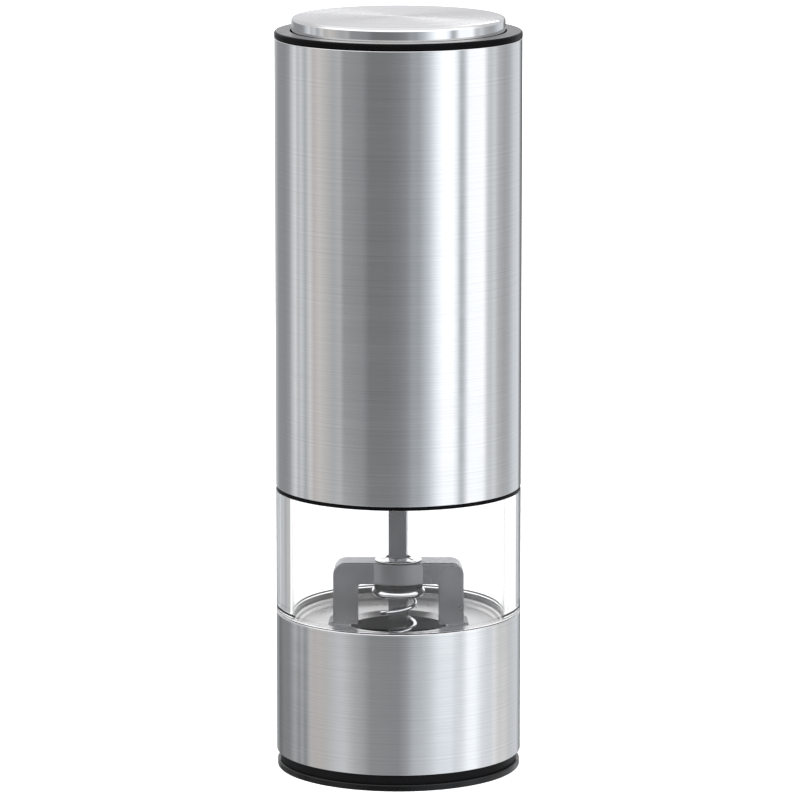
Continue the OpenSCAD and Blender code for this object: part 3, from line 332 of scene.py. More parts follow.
def remap(tree, value, low, high):
    """Spreads a noise value of about 0.3 to 0.7 over low to high."""
    node = tree.nodes.new("ShaderNodeMapRange")
    node.inputs["From Min"].default_value = 0.3
    node.inputs["From Max"].default_value = 0.7
    node.inputs["To Min"].default_value = low
    node.inputs["To Max"].default_value = high
    tree.links.new(value, node.inputs["Value"])
    return node.outputs["Result"]


# Scratches as (lines per metre of height, scale of their patches, share of the whole)
SCRATCHES = ((5200, (420, 420, 2400), 0.62), (2100, (170, 170, 800), 0.38))


def brush_group():
    """Fine straight scratches round the Z axis, which come and go, and a slow unevenness."""
    group, source, target = node_group(
        "Round brushing", [("Vector", "NodeSocketVector", None)],
        [("Lines", "NodeSocketFloat"), ("Patches", "NodeSocketFloat")])
    apart = group.nodes.new("ShaderNodeSeparateXYZ")
    group.links.new(source.outputs["Vector"], apart.inputs["Vector"])
    both = 0.5
    for line_scale, patch_scale, share in SCRATCHES:
        line = line_noise(group, math_node(group, "MULTIPLY", apart.outputs["Z"], line_scale))
        patch = noise(group, vector_scale(group, source.outputs["Vector"], patch_scale), 1.0, 1.0)
        strength = remap(group, patch, 0.15, 2.2)
        swing = math_node(group, "MULTIPLY", math_node(group, "SUBTRACT", line, 0.5), strength)
        both = math_node(group, "ADD", math_node(group, "MULTIPLY", swing, share), both)
    group.links.new(both, target.inputs["Lines"])
    slow = noise(group, vector_scale(group, source.outputs["Vector"], (30, 30, 300)), 1.0, 2.0)
    group.links.new(slow, target.inputs["Patches"])
    return group


def grain_group():
    """Grain of a moulded or blasted surface: fine height and slow patches."""
    group, source, target = node_group(
        "Moulded grain",
        [("Vector", "NodeSocketVector", None), ("Size", "NodeSocketFloat", 2500.0)],
        [("Height", "NodeSocketFloat"), ("Patches", "NodeSocketFloat")])
    fine = group.nodes.new("ShaderNodeTexNoise")
    fine.inputs["Detail"].default_value = 3.0
    group.links.new(source.outputs["Vector"], fine.inputs["Vector"])
    group.links.new(source.outputs["Size"], fine.inputs["Scale"])
    group.links.new(fine.outputs["Fac"], target.inputs["Height"])
    slow = noise(group, source.outputs["Vector"], 160.0, 3.0)
    group.links.new(slow, target.inputs["Patches"])
    return group


BRUSHING = brush_group()
GRAIN = grain_group()


class Finish:
    """A material with its main shader and object coordinates to hand."""

    def __init__(self, name, base, metallic, roughness):
        self.material = bpy.data.materials.new(name)
        self.material.use_nodes = True
        self.tree = self.material.node_tree
        self.tree.nodes.clear()
        output = self.tree.nodes.new("ShaderNodeOutputMaterial")
        self.shader = self.tree.nodes.new("ShaderNodeBsdfPrincipled")
        self.tree.links.new(self.shader.outputs["BSDF"], output.inputs["Surface"])
        self.shader.inputs["Base Color"].default_value = (*base, 1)
        self.shader.inputs["Metallic"].default_value = metallic
        self.shader.inputs["Roughness"].default_value = roughness
        self.base = base
        self.place = self.tree.nodes.new("ShaderNodeTexCoord").outputs["Object"]

    def use(self, group, **values):
        node = self.tree.nodes.new("ShaderNodeGroup")
        node.node_tree = group
        self.tree.links.new(self.place, node.inputs["Vector"])
        for label, value in values.items():
            node.inputs[label].default_value = value
        return node

    def roughen(self, value, low, high):
        self.tree.links.new(remap(self.tree, value, low, high), self.shader.inputs["Roughness"])

    def shade(self, value, dark, light):
        """Varies the base colour between two shares of itself."""
        mix = self.tree.nodes.new("ShaderNodeMix")
        mix.data_type = "RGBA"
        mix.inputs["A"].default_value = (*[dark * c for c in self.base], 1)
        mix.inputs["B"].default_value = (*[min(1, light * c) for c in self.base], 1)
        self.tree.links.new(remap(self.tree, value, 0, 1), mix.inputs["Factor"])
        self.tree.links.new(mix.outputs["Result"], self.shader.inputs["Base Color"])

    def raise_by(self, value, depth, strength):
        bump = self.tree.nodes.new("ShaderNodeBump")
        bump.inputs["Distance"].default_value = depth
        bump.inputs["Strength"].default_value = strength
        self.tree.links.new(value, bump.inputs["Height"])
        self.tree.links.new(bump.outputs["Normal"], self.shader.inputs["Normal"])

    def round_grain(self, amount):
        """Stretches reflections across scratches that run round the Z axis."""
        self.shader.inputs["Anisotropic"].default_value = amount
        self.shader.inputs["Anisotropic Rotation"].default_value = 0.25
        tangent = self.tree.nodes.new("ShaderNodeTangent")
        tangent.direction_type = "RADIAL"
        tangent.axis = "Z"
        self.tree.links.new(tangent.outputs["Tangent"], self.shader.inputs["Tangent"])


def brushed_steel():
    finish = Finish("Brushed sleeve steel", (0.70, 0.70, 0.705), 1.0, 0.1)
    brush = finish.use(BRUSHING)
    finish.shade(brush.outputs["Lines"], 0.95, 1.05)
    finish.roughen(brush.outputs["Patches"], 0.08, 0.12)
    finish.raise_by(brush.outputs["Lines"], 0.003 * MM, 0.2)
    finish.round_grain(0.5)
    return finish.material


def spun_steel():
    finish = Finish("Spun button steel", (0.73, 0.73, 0.74), 1.0, 0.3)
    tree = finish.tree
    apart = tree.nodes.new("ShaderNodeSeparateXYZ")
    tree.links.new(finish.place, apart.inputs["Vector"])
    square = math_node(tree, "ADD",
                       math_node(tree, "MULTIPLY", apart.outputs["X"], apart.outputs["X"]),
                       math_node(tree, "MULTIPLY", apart.outputs["Y"], apart.outputs["Y"]))
    radius = math_node(tree, "SQRT", square, 0)
    rings = tree.nodes.new("ShaderNodeCombineXYZ")
    tree.links.new(math_node(tree, "MULTIPLY", radius, 6000), rings.inputs["X"])
    tree.links.new(math_node(tree, "MULTIPLY", apart.outputs["Z"], 3000), rings.inputs["Y"])
    lines = noise(tree, rings.outputs["Vector"], 1.0, 3.0, 0.6)
    finish.shade(lines, 0.92, 1.06)
    finish.roughen(lines, 0.24, 0.3)
    finish.raise_by(lines, 0.002 * MM, 0.2)
    finish.round_grain(0.85)
    return finish.material


def polished_steel():
    finish = Finish("Polished steel", (0.68, 0.68, 0.69), 1.0, 0.05)
    grain = finish.use(GRAIN, Size=900.0)
    finish.roughen(grain.outputs["Patches"], 0.03, 0.07)
    return finish.material


def clear_plastic():
    finish = Finish("Clear hopper plastic", (0.985, 0.988, 0.995), 0.0, 0.0)
    finish.shader.inputs["Transmission Weight"].default_value = 1.0
    finish.shader.inputs["IOR"].default_value = 1.49
    return finish.material


def plain_plastic(name, base, low, high, size=2600.0, depth=0.01, shine=0.5):
    finish = Finish(name, base, 0.0, (low + high) / 2)
    finish.shader.inputs["Specular IOR Level"].default_value = shine
    grain = finish.use(GRAIN, Size=size)
    finish.shade(grain.outputs["Patches"], 0.88, 1.1)
    finish.roughen(grain.outputs["Patches"], low, high)
    finish.raise_by(grain.outputs["Height"], depth * MM, 0.4)
    return finish.material


def plain_metal(name, base, low, high, size=1800.0, depth=0.01, metallic=1.0):
    finish = Finish(name, base, metallic, (low + high) / 2)
    grain = finish.use(GRAIN, Size=size)
    finish.shade(grain.outputs["Patches"], 0.88, 1.08)
    finish.roughen(grain.outputs["Patches"], low, high)
    finish.raise_by(grain.outputs["Height"], depth * MM, 0.4)
    return finish.material


STEEL = brushed_steel()
SPUN = spun_steel()
POLISHED = polished_steel()
BRIGHT = plain_metal("Bright plated fitting", (0.86, 0.86, 0.87), 0.04, 0.1, 900, 0.004)
CLEAR = clear_plastic()
GLOSS_BLACK = plain_plastic("Glossy black plastic", (0.0015, 0.0015, 0.0017), 0.05, 0.09, 900,
                            0.001, shine=0.3)
GLOSS_TOP = plain_plastic("Glossy collar face", (0.004, 0.004, 0.0045), 0.16, 0.24, 900, 0.002)
SATIN_BLACK = plain_plastic("Satin black plastic", (0.0022, 0.0022, 0.0025), 0.2, 0.28, shine=0.03)
GRAPHITE = plain_plastic("Graphite plastic", (0.005, 0.005, 0.0055), 0.3, 0.42, shine=0.05)
CAST_GREY = plain_metal("Cast grey yoke", (0.25, 0.25, 0.265), 0.26, 0.32, 1500, 0.004, 0.8)
DISH_GREY = plain_metal("Satin grey dish", (0.66, 0.655, 0.65), 0.26, 0.36, 2000, 0.004, 0.8)
SHAFT_STEEL = plain_metal("Drawn shaft steel", (0.23, 0.23, 0.242), 0.16, 0.22, depth=0.004)
SPRING_STEEL = plain_metal("Bright spring wire", (0.86, 0.86, 0.88), 0.04, 0.1)
ZINC_STEEL = plain_metal("Zinc plated steel", (0.60, 0.60, 0.63), 0.28, 0.42)
RUBBER = plain_plastic("Seal rubber", (0.016, 0.016, 0.016), 0.6, 0.75)
CERAMIC = plain_plastic("Burr ceramic", (0.78, 0.77, 0.73), 0.42, 0.58, 1400, 0.03)
NYLON = plain_plastic("White nylon", (0.78, 0.77, 0.71), 0.38, 0.5)
BRASS = plain_metal("Turned brass", (0.72, 0.52, 0.22), 0.2, 0.32)
MAGNET = plain_plastic("Ferrite magnet", (0.045, 0.045, 0.05), 0.6, 0.75, 900, 0.03)
WINDING = plain_metal("Varnished winding", (0.42, 0.17, 0.08), 0.3, 0.45, 600, 0.05, 0.7)
CELL_WRAP = plain_plastic("Plain cell wrap", (0.16, 0.21, 0.27), 0.16, 0.2, 200, 0.001)
CONTACT = plain_metal("Nickel plated contact", (0.72, 0.69, 0.62), 0.18, 0.3)
BOARD = plain_plastic("Green switch board", (0.02, 0.13, 0.06), 0.3, 0.42)

SLOT_MATERIALS = {
    "brushed_steel": STEEL, "polished_steel": POLISHED, "clear_plastic": CLEAR,
    "gloss_black": GLOSS_BLACK, "satin_black": SATIN_BLACK, "graphite": GRAPHITE,
    "cast_grey": CAST_GREY, "metallic_grey": DISH_GREY, "mid_steel": SHAFT_STEEL,
    "ceramic_white": CERAMIC, "seal_rubber": RUBBER, "spring_steel": SPRING_STEEL,
    "plain_steel": ZINC_STEEL, "white_nylon": NYLON, "brass": BRASS, "magnet": MAGNET,
    "copper_iron": WINDING, "cell_wrap": CELL_WRAP, "contact_metal": CONTACT,
    "board_green": BOARD,
}


def dress_cad_nodes():
    """Every node of the construction model gets the finish of its slot."""
    for part in frame["record"]["subparts"]:
        node = frame["nodes"][part["node"]]
        node.data.materials.clear()
        node.data.materials.append(SLOT_MATERIALS[part["material_slot"]])


# Pieces


def sleeve(name, low, high, node, body):
    b = SLEEVE_BEVEL
    inner = BODY_R - SLEEVE_WALL
    piece = turned(name, [
        (inner, low), (BODY_R - b, low), (BODY_R, low + b),
        (BODY_R, high - b), (BODY_R - b, high), (inner, high)])
    soften(piece, 0.06 * MM, 2)
    dress(piece, body, "brushed_steel", STEEL, node)


def window():
    inner = BODY_R - WINDOW_WALL
    neck = inner + NECK_WALL
    spigot = inner + SPIGOT_WALL
    foot_r = 0.45 * MM
    piece = turned("Clear_window", [
        (inner, WINDOW_LOW), (spigot, WINDOW_LOW), (spigot, LOWER_TOP)] +
        arc((BODY_R - foot_r, LOWER_TOP + foot_r), foot_r, -90, 0, 4) + [
        (BODY_R, UPPER_BASE - FLANGE_THICK), (neck, UPPER_BASE - FLANGE_THICK),
        (neck, WINDOW_HIGH), (inner, WINDOW_HIGH)])
    soften(piece, 0.12 * MM, 2, 60)
    dress(piece, "lower_unit", "clear_plastic", CLEAR, "hopper_wall")


def lid():
    """The glossy dust cap with its rounded lip and plug ring."""
    e = 0.3 * MM
    lip = 1.5 * MM
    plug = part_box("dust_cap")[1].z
    plug_r = BODY_R - 4.8 * MM
    plug_in = plug_r - 1.5 * MM
    points = ([(0, 0)] + arc((LID_R - e, e), e, -90, 0) + arc((LID_R - e, lip - e), e, 0, 90) +
              [(plug_r, lip), (plug_r, plug), (plug_in, plug), (plug_in, lip), (0, lip)])
    piece = turned("Dust_lid", points, closed=False)
    soften(piece, 0.1 * MM, 2, 60)
    dress(piece, "dust_cap", "gloss_black", GLOSS_BLACK, "dust_cap")


def collar():
    """The dark ring on the sleeve's top, its skirt down inside it and its glossy upper face."""
    e = 0.5 * MM
    skirt = BODY_R - SLEEVE_WALL - FIT
    skirt_in = skirt - 1.2 * MM
    inner = BUTTON_R + 0.3 * MM
    step = skirt - 1.75 * MM
    step_low = UPPER_TOP - 2.6 * MM
    points = [(inner, UPPER_TOP), (step, UPPER_TOP), (step, step_low), (skirt_in, step_low),
              (skirt_in, COLLAR_LOW), (skirt, COLLAR_LOW), (skirt, UPPER_TOP),
              (COLLAR_R, UPPER_TOP)]
    points += arc((COLLAR_R - e, COLLAR_TOP - e), e, 0, 90) + [(inner, COLLAR_TOP)]
    piece = turned("Top_collar", points)
    soften(piece, 0.08 * MM, 2, 60)
    dress(piece, "sleeve", "satin_black", SATIN_BLACK, "top_collar")
    second_finish(piece, GLOSS_TOP, lambda centre, normal: centre.z > COLLAR_TOP - 0.02 * MM)


def button():
    """The polished cap, whose flat top is spun."""
    e = 0.88 * MM
    wall = 0.9 * MM
    inner = BUTTON_R - wall
    ceiling = BUTTON_TOP - wall
    points = ([(0, ceiling), (inner - e / 2, ceiling), (inner, ceiling - e / 2),
               (inner, BUTTON_LOW), (BUTTON_R, BUTTON_LOW)] +
              arc((BUTTON_R - e, BUTTON_TOP - e), e, 0, 90, 8) + [(0, BUTTON_TOP)])
    piece = turned("Button_cap", points, closed=False)
    soften(piece, 0)
    dress(piece, "button", "polished_steel", POLISHED, "button_cap")
    second_finish(piece, SPUN, lambda centre, normal: normal.z > 0.999 and
                  centre.z > BUTTON_TOP - 0.01 * MM)


def yoke():
    """The cast bridge over the feed mouth: a bar, its two legs drawn down, a boss and feet."""
    bar_low = YOKE_TOP - YOKE_BAR
    leg_in = YOKE_HALF - YOKE_LEG
    half_depth = YOKE_DEPTH / 2
    near = 0.01 * MM
    shoulder, armpit, edge = 2.6 * MM, 0.7 * MM, 0.75 * MM
    screw_r, screw_deep = 0.95 * MM, 6 * MM
    piece = block("Cast_yoke", (-YOKE_HALF, -half_depth, bar_low),
                  (YOKE_HALF, half_depth, YOKE_TOP))
    alone(piece)
    for side in (-leg_in, leg_in):
        bpy.ops.object.mode_set(mode="EDIT")
        bpy.ops.mesh.select_all(action="SELECT")
        bpy.ops.mesh.bisect(plane_co=(side, 0, 0), plane_no=(1, 0, 0))
    pick(piece, "FACE", lambda centre, normal: normal.z < -0.9 and abs(centre.x) > leg_in)
    extend((0, 0, YOKE_LOW - bar_low))
    pick(piece, "EDGE", lambda a, b: abs(a.x - b.x) < near and abs(a.z - b.z) < near and
         abs(a.x) > YOKE_HALF - near and a.z > YOKE_TOP - near)
    bpy.ops.mesh.bevel(offset=shoulder, segments=8)
    pick(piece, "EDGE", lambda a, b: abs(a.x - b.x) < near and abs(a.z - b.z) < near and
         abs(abs(a.x) - leg_in) < near and abs(a.z - bar_low) < near)
    bpy.ops.mesh.bevel(offset=armpit, segments=4)
    bpy.ops.object.mode_set(mode="OBJECT")
    round_edges(piece, edge, 4, 40)
    combine(piece, boss(bar_low), "UNION")
    for side in (-1, 1):
        combine(piece, foot(side), "UNION")
    bore = rod("Bore", BUSH_R + FIT, bar_low - MM, YOKE_TOP + MM, 96)
    combine(piece, bore, "DIFFERENCE")
    for side in (-1, 1):
        hole = rod("Screw_hole", screw_r, YOKE_LOW - MM, YOKE_LOW + screw_deep, 24,
                   side * (YOKE_HALF - YOKE_LEG / 4))
        combine(piece, hole, "DIFFERENCE")
    soften(piece, 0)
    dress(piece, "lower_unit", "cast_grey", CAST_GREY, "yoke")


def boss(bar_low):
    """The bulge round the bush, wider along the bar than across it."""
    piece = rod("Boss", BOSS_R, bar_low, YOKE_TOP, 96)
    edit_whole(piece)
    bpy.ops.transform.resize(value=(BOSS_WIDE / BOSS_R, 1, 1))
    bpy.ops.object.mode_set(mode="OBJECT")
    round_edges(piece, 0.3 * MM, 3, 60)
    return piece


def foot(side):
    """The thin ledge at a leg's foot, drawn out to a point on its outer side."""
    reach = 1.1 * MM
    point = 0.95 * MM
    thick = 0.6 * MM
    middle = side * (YOKE_HALF - YOKE_LEG / 2 + reach / 2)
    wide = (YOKE_LEG + reach) / 2
    deep = YOKE_DEPTH / 2 + 0.3 * MM
    outside = YOKE_HALF + reach / 2
    piece = block("Foot", (middle - wide, -deep, YOKE_LOW), (middle + wide, deep, YOKE_LOW + thick))
    pick(piece, "EDGE", lambda a, b: min(a.z, b.z) > YOKE_LOW + thick / 2 and
         min(abs(a.x), abs(b.x)) > outside)
    bpy.ops.transform.translate(value=(-side * point, 0, 0))
    bpy.ops.object.mode_set(mode="OBJECT")
    return piece


def square_shaft():
    """The square bar with its edges rounded to run in the bush, and its threaded lower end."""
    half = SHAFT_WIDTH / 2
    square_low = SHAFT_LOW + THREAD_LONG
    edge = 0.19 * MM
    piece = block("Drive_shaft", (-half, -half, square_low), (half, half, SHAFT_TOP))
    pick(piece, "EDGE", lambda a, b: abs(a.z - b.z) > MM)
    bpy.ops.mesh.bevel(offset=edge, segments=3)
    bpy.ops.mesh.select_all(action="SELECT")
    turn_selected(-math.radians(SHAFT_TURN))
    bpy.ops.object.mode_set(mode="OBJECT")
    combine(piece, threaded_end(SHAFT_LOW, square_low + MM), "UNION")
    soften(piece, 0)
    dress(piece, "drive_shaft", "mid_steel", SHAFT_STEEL, "drive_shaft")


def threaded_end(low, high):
    """Round end with a rib for each turn of the thread."""
    outer = SHAFT_WIDTH / 2
    inner = outer - 0.3 * MM
    plain = 2 * MM
    rib_shares = ((inner, 0.15), (outer, 0.45), (outer, 0.6), (inner, 0.9))
    points = [(0, low), (inner, low)]
    height = low
    while height + THREAD_PITCH < high - plain:
        points += [(r, height + share * THREAD_PITCH) for r, share in rib_shares]
        height += THREAD_PITCH
    points += [(inner, height + 0.15 * THREAD_PITCH), (inner, high), (0, high)]
    return turned("Threaded_end", points, closed=False, steps=32)


def clip():
    """Bright push-on washer, cut into tongues that grip the shaft."""
    hole = SHAFT_EDGE_R
    rise_in = 0.35 * MM
    slots, first_slot = 6, 22
    slot_half, slot_end = 0.2 * MM, hole + 1.35 * MM
    piece = turned("Shaft_clip", [
        (hole, CLIP_LOW + 0.1 * MM), (CLIP_R - 0.1 * MM, CLIP_LOW), (CLIP_R, CLIP_LOW + 0.12 * MM),
        (CLIP_R - 0.12 * MM, CLIP_TOP - 0.15 * MM), (hole + 1.5 * MM, CLIP_TOP - 0.1 * MM),
        (hole, CLIP_TOP - 0.1 * MM + rise_in)], steps=96)
    for turn in range(slots):
        slot = block("Slot", (0, -slot_half, CLIP_LOW - MM), (slot_end, slot_half, CLIP_TOP + MM))
        edit_whole(slot)
        turn_selected(-math.radians(first_slot + 360 // slots * turn))
        bpy.ops.object.mode_set(mode="OBJECT")
        combine(piece, slot, "DIFFERENCE")
    soften(piece, 0.05 * MM, 2, 25)
    dress(piece, "drive_shaft", "polished_steel", BRIGHT, "shaft_clip")


def cup():
    """The bright ring that the spring's top curl sits in, and above it a narrower band painted
    black: painted shade and dark reflection under the boss.
    """
    painted_dark_band_low = CUP_TOP - 1.05 * MM
    round_r = (painted_dark_band_low - CUP_LOW) / 2
    recess = SPRING_R + SPRING_WIRE / 2 + 0.3 * MM
    seat = CUP_LOW + 1.5 * MM
    points = [(SHAFT_EDGE_R, seat), (recess, seat), (recess, CUP_LOW + 0.15 * MM),
              (recess + 0.15 * MM, CUP_LOW)]
    points += arc((CUP_R - round_r, CUP_LOW + round_r), round_r, -90, 60, 12)
    points += [(CUP_R - 0.5 * MM, painted_dark_band_low), (CUP_R - 0.4 * MM, CUP_TOP - 0.2 * MM),
               (CUP_R - 0.6 * MM, CUP_TOP), (SHAFT_EDGE_R, CUP_TOP)]
    piece = turned("Spring_cup", points, steps=96)
    soften(piece, 0)
    dress(piece, "drive_shaft", "polished_steel", BRIGHT, "spring_cup")
    # Painted shade and painted dark reflection: the narrower top band is coloured black.
    second_finish(piece, SATIN_BLACK, lambda centre, normal: centre.z > painted_dark_band_low - 0.1 * MM)


def wound(name, radius, wire, low, high, turns, body, node, start=0, per_turn=30, sides=14):
    """Round wire wound up about the Z axis from a start angle: its section is drawn along."""
    close_rise = CLOSE_SHARE * wire
    rise = high - low - wire

    def climb(t):
        if t < 1:
            return close_rise * t
        if t > turns - 1:
            return rise - close_rise * (turns - t)
        return close_rise + (rise - 2 * close_rise) * (t - 1) / (turns - 2)

    bpy.ops.object.select_all(action="DESELECT")
    bpy.ops.mesh.primitive_circle_add(vertices=sides, radius=wire / 2, fill_type="NGON")
    piece = added(name)
    bpy.ops.mesh.select_all(action="SELECT")
    turn_selected(math.pi / 2, "X")
    bpy.ops.transform.translate(value=(radius, 0, low + wire / 2))
    steps = math.ceil(turns * per_turn)
    for step in range(steps):
        here, there = turns * step / steps, turns * (step + 1) / steps
        extend((0, 0, climb(there) - climb(here)))
        turn_selected(-2 * math.pi * turns / steps)
    bpy.ops.mesh.select_all(action="SELECT")
    turn_selected(-math.radians(start))
    bpy.ops.mesh.normals_make_consistent(inside=False)
    bpy.ops.object.mode_set(mode="OBJECT")
    soften(piece, 0)
    dress(piece, body, "spring_steel", SPRING_STEEL, node)
    return piece


def dish():
    """The satin floor of the hopper; its mouth and throat are painted black, as painted shade down
    the hole.
    """
    rim_in = DISH_R - MM
    floor_z = YOKE_LOW
    under = floor_z - 1.6 * MM
    throat = MOUTH_R + 0.8 * MM
    foot_z = under - 0.5 * MM
    e = 0.3 * MM
    fillet = 0.5 * MM
    points = [(throat, DISH_LOW), (throat, under), (rim_in, under), (rim_in, foot_z),
              (DISH_R, foot_z)]
    points += [(DISH_R, DISH_RIM - e), (DISH_R - e, DISH_RIM), (rim_in + e, DISH_RIM),
               (rim_in, DISH_RIM - e), (rim_in, floor_z + fillet),
               (rim_in - fillet, floor_z), (MOUTH_R + 1.2 * MM, floor_z),
               (MOUTH_R + 0.9 * MM, floor_z - 0.15 * MM), (MOUTH_R, floor_z - 1.2 * MM),
               (MOUTH_R, DISH_LOW)]
    piece = turned("Hopper_dish", points)
    soften(piece, 0.05 * MM, 2, 40)
    dress(piece, "lower_unit", "metallic_grey", DISH_GREY, "hopper_floor")
    # Painted shade: the faces round the mouth are painted black for the shade down the hole.
    second_finish(piece, SATIN_BLACK, lambda centre, normal:
                  math.hypot(centre.x, centre.y) < MOUTH_R + MOUTH_SHADE_REACH)


dress_cad_nodes()
yoke()
square_shaft()
clip()
cup()
burr_spring = wound("Burr_spring", SPRING_R, SPRING_WIRE, SPRING_LOW, SPRING_TOP, SPRING_TURNS,
                    "burr", "burr_spring", start=SPRING_START)
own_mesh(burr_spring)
button_spring = wound("Button_spring", RETURN_R, RETURN_WIRE, RETURN_LOW, RETURN_TOP,
                      RETURN_TURNS, "button", "button_spring", per_turn=48)
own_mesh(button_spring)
dish()
sleeve("Upper_steel_sleeve", UPPER_BASE, UPPER_TOP, "upper_sleeve", "sleeve")
sleeve("Lower_steel_sleeve", LOWER_BASE, LOWER_TOP, "lower_sleeve", "lower_unit")
window()
lid()
collar()
button()


# Studio: colours of the sky, and the parts of a direction, from -1 to 1, between which one zone
# gives way to the next. They are its upward part, and for the front its part towards the camera.
BACK_SKY = (0.56, 0.56, 0.57, 1)
FRONT_SKY = (1.3, 1.3, 1.3, 1)
SKY_THROUGH_PLASTIC = (0.95, 0.95, 0.95, 1)
ZENITH = (0.82, 0.82, 0.83, 1)
LOW_PANELS_END = (-0.214, -0.202)
SKY_START = (-0.02, 0.14)
ZENITH_START = (0.5, 0.75)
FRONT_START = (-0.35, 0.25)
STUDIO_STRENGTH = 1.45
WALL_PASSES = 3  # fewer surfaces passed than this: through the near wall only, at its edges

# Fitted to edges that were measured on the photograph
CAMERA_PLACE = (0, -1.205, 0.2991)
CAMERA_TILT = 10.22  # degrees below level
CAMERA_LENS = 250.7
CAMERA_SHIFT = 0.002


def ramp_of(tree, share, stops):
    """Colours along a ramp, from (angle, level, warmth) stops that span 180 degrees."""
    ramp = tree.nodes.new("ShaderNodeValToRGB")
    tree.links.new(share, ramp.inputs["Fac"])
    elements = ramp.color_ramp.elements
    while len(elements) > 1:
        elements.remove(elements[0])
    elements[0].position = 0
    for index, (angle, level, warmth) in enumerate(stops):
        place = (angle - stops[0][0]) / 180
        stop = elements[0] if index == 0 else elements.new(place)
        stop.color = (level * (1 + warmth), level, level * (1 - warmth), 1)
    return ramp.outputs["Color"]


def panels_round(tree, share, left, right):
    """One ramp for each half of the studio; the share runs from 0 to 1 round it."""
    twice = math_node(tree, "MULTIPLY", share, 2)
    on_left = ramp_of(tree, twice, left)
    on_right = ramp_of(tree, math_node(tree, "SUBTRACT", twice, 1), right)
    return blend_colours(tree, math_node(tree, "GREATER_THAN", share, 0.5), on_left, on_right)


def blend_colours(tree, factor, first, second):
    mix = tree.nodes.new("ShaderNodeMix")
    mix.data_type = "RGBA"
    for socket, value in zip(("Factor", "A", "B"), (factor, first, second)):
        if isinstance(value, tuple):
            mix.inputs[socket].default_value = value
        else:
            tree.links.new(value, mix.inputs[socket])
    return mix.outputs["Result"]


def rise(tree, value, low, high):
    """0 below low, 1 above high and a smooth change between."""
    step = tree.nodes.new("ShaderNodeMapRange")
    step.interpolation_type = "SMOOTHSTEP"
    step.inputs["From Min"].default_value = low
    step.inputs["From Max"].default_value = high
    tree.links.new(value, step.inputs["Value"])
    return step.outputs["Result"]


def studio_world():
    """Soft studio round the object: panels by azimuth, and a sky that is brighter in front."""
    world = bpy.data.worlds.new("Studio")
    bpy.context.scene.world = world
    world.use_nodes = True
    tree = world.node_tree
    tree.nodes.clear()
    output = tree.nodes.new("ShaderNodeOutputWorld")
    background = tree.nodes.new("ShaderNodeBackground")
    tree.links.new(background.outputs["Background"], output.inputs["Surface"])
    direction = tree.nodes.new("ShaderNodeTexCoord").outputs["Generated"]
    apart = tree.nodes.new("ShaderNodeSeparateXYZ")
    tree.links.new(direction, apart.inputs["Vector"])
    forward = math_node(tree, "MULTIPLY", apart.outputs["Y"], -1)
    azimuth = math_node(tree, "ARCTAN2", apart.outputs["X"], forward)
    share = math_node(tree, "ADD", math_node(tree, "DIVIDE", azimuth, 2 * math.pi), 0.5)
    upper = panels_round(tree, share, LEFT_PANELS, RIGHT_PANELS)
    lower = panels_round(tree, share, LOW_LEFT_PANELS, LOW_RIGHT_PANELS)
    height = apart.outputs["Z"]
    outside = blend_colours(tree, rise(tree, height, *LOW_PANELS_END), lower, upper)
    inside = panels_round(tree, share, SEEN_THROUGH_LEFT, SEEN_THROUGH_RIGHT)
    edges = panels_round(tree, share, WALL_LEFT, WALL_RIGHT)
    path = tree.nodes.new("ShaderNodeLightPath")
    in_wall = math_node(tree, "LESS_THAN", path.outputs["Transmission Depth"], WALL_PASSES)
    through = blend_colours(tree, in_wall, inside, edges)
    passed = path.outputs["Is Transmission Ray"]
    walls = blend_colours(tree, passed, outside, through)
    open_sky = blend_colours(tree, rise(tree, forward, *FRONT_START), BACK_SKY, FRONT_SKY)
    low_sky = blend_colours(tree, passed, open_sky, SKY_THROUGH_PLASTIC)
    above = blend_colours(tree, rise(tree, height, *SKY_START), walls, low_sky)
    whole = blend_colours(tree, rise(tree, height, *ZENITH_START), above, ZENITH)
    tree.links.new(whole, background.inputs["Color"])
    background.inputs["Strength"].default_value = STUDIO_STRENGTH


# Brightness of the studio by azimuth, as (angle, level, warmth): 0 is the camera's side and 90 is
# +X, the picture's right. The low panels are those that the lower sleeve reflects.
LEFT_PANELS = [
    (-180, 0.42, -0.03), (-165, 0.42, -0.03), (-150, 0.24, -0.03), (-131, 0.24, -0.03),
    (-123, 0.3, -0.04), (-118, 0.48, -0.04), (-112, 0.64, -0.02), (-108, 0.44, -0.02),
    (-103, 0.57, -0.03), (-97, 0.38, -0.04), (-91, 0.58, 0), (-86, 0.43, 0.03),
    (-79, 0.5, 0.035), (-63, 0.36, -0.01), (-56, 0.4, -0.015), (-52, 0.265, -0.015),
    (-34, 0.235, -0.03), (-27, 0.165, -0.02), (-10, 0.165, -0.025), (0, 0.19, -0.04),
]
RIGHT_PANELS = [
    (0, 0.19, -0.04), (8, 0.235, -0.05), (13, 0.32, -0.055), (19, 0.325, -0.06),
    (28, 0.53, -0.06), (37, 0.9, -0.05), (42, 1.05, -0.02), (52, 1.05, -0.02),
    (56, 0.85, -0.05), (60, 0.42, -0.06), (63, 0.46, -0.05), (69, 0.97, -0.03),
    (86, 1.0, -0.02), (92, 0.56, -0.03), (96, 0.52, -0.04), (101, 0.6, -0.03),
    (107, 0.42, -0.02), (117, 0.34, -0.02), (125, 0.38, -0.04), (136, 0.56, -0.05),
    (151, 0.6, -0.04), (158, 0.22, -0.03), (166, 0.12, -0.02), (180, 0.12, 0),
]
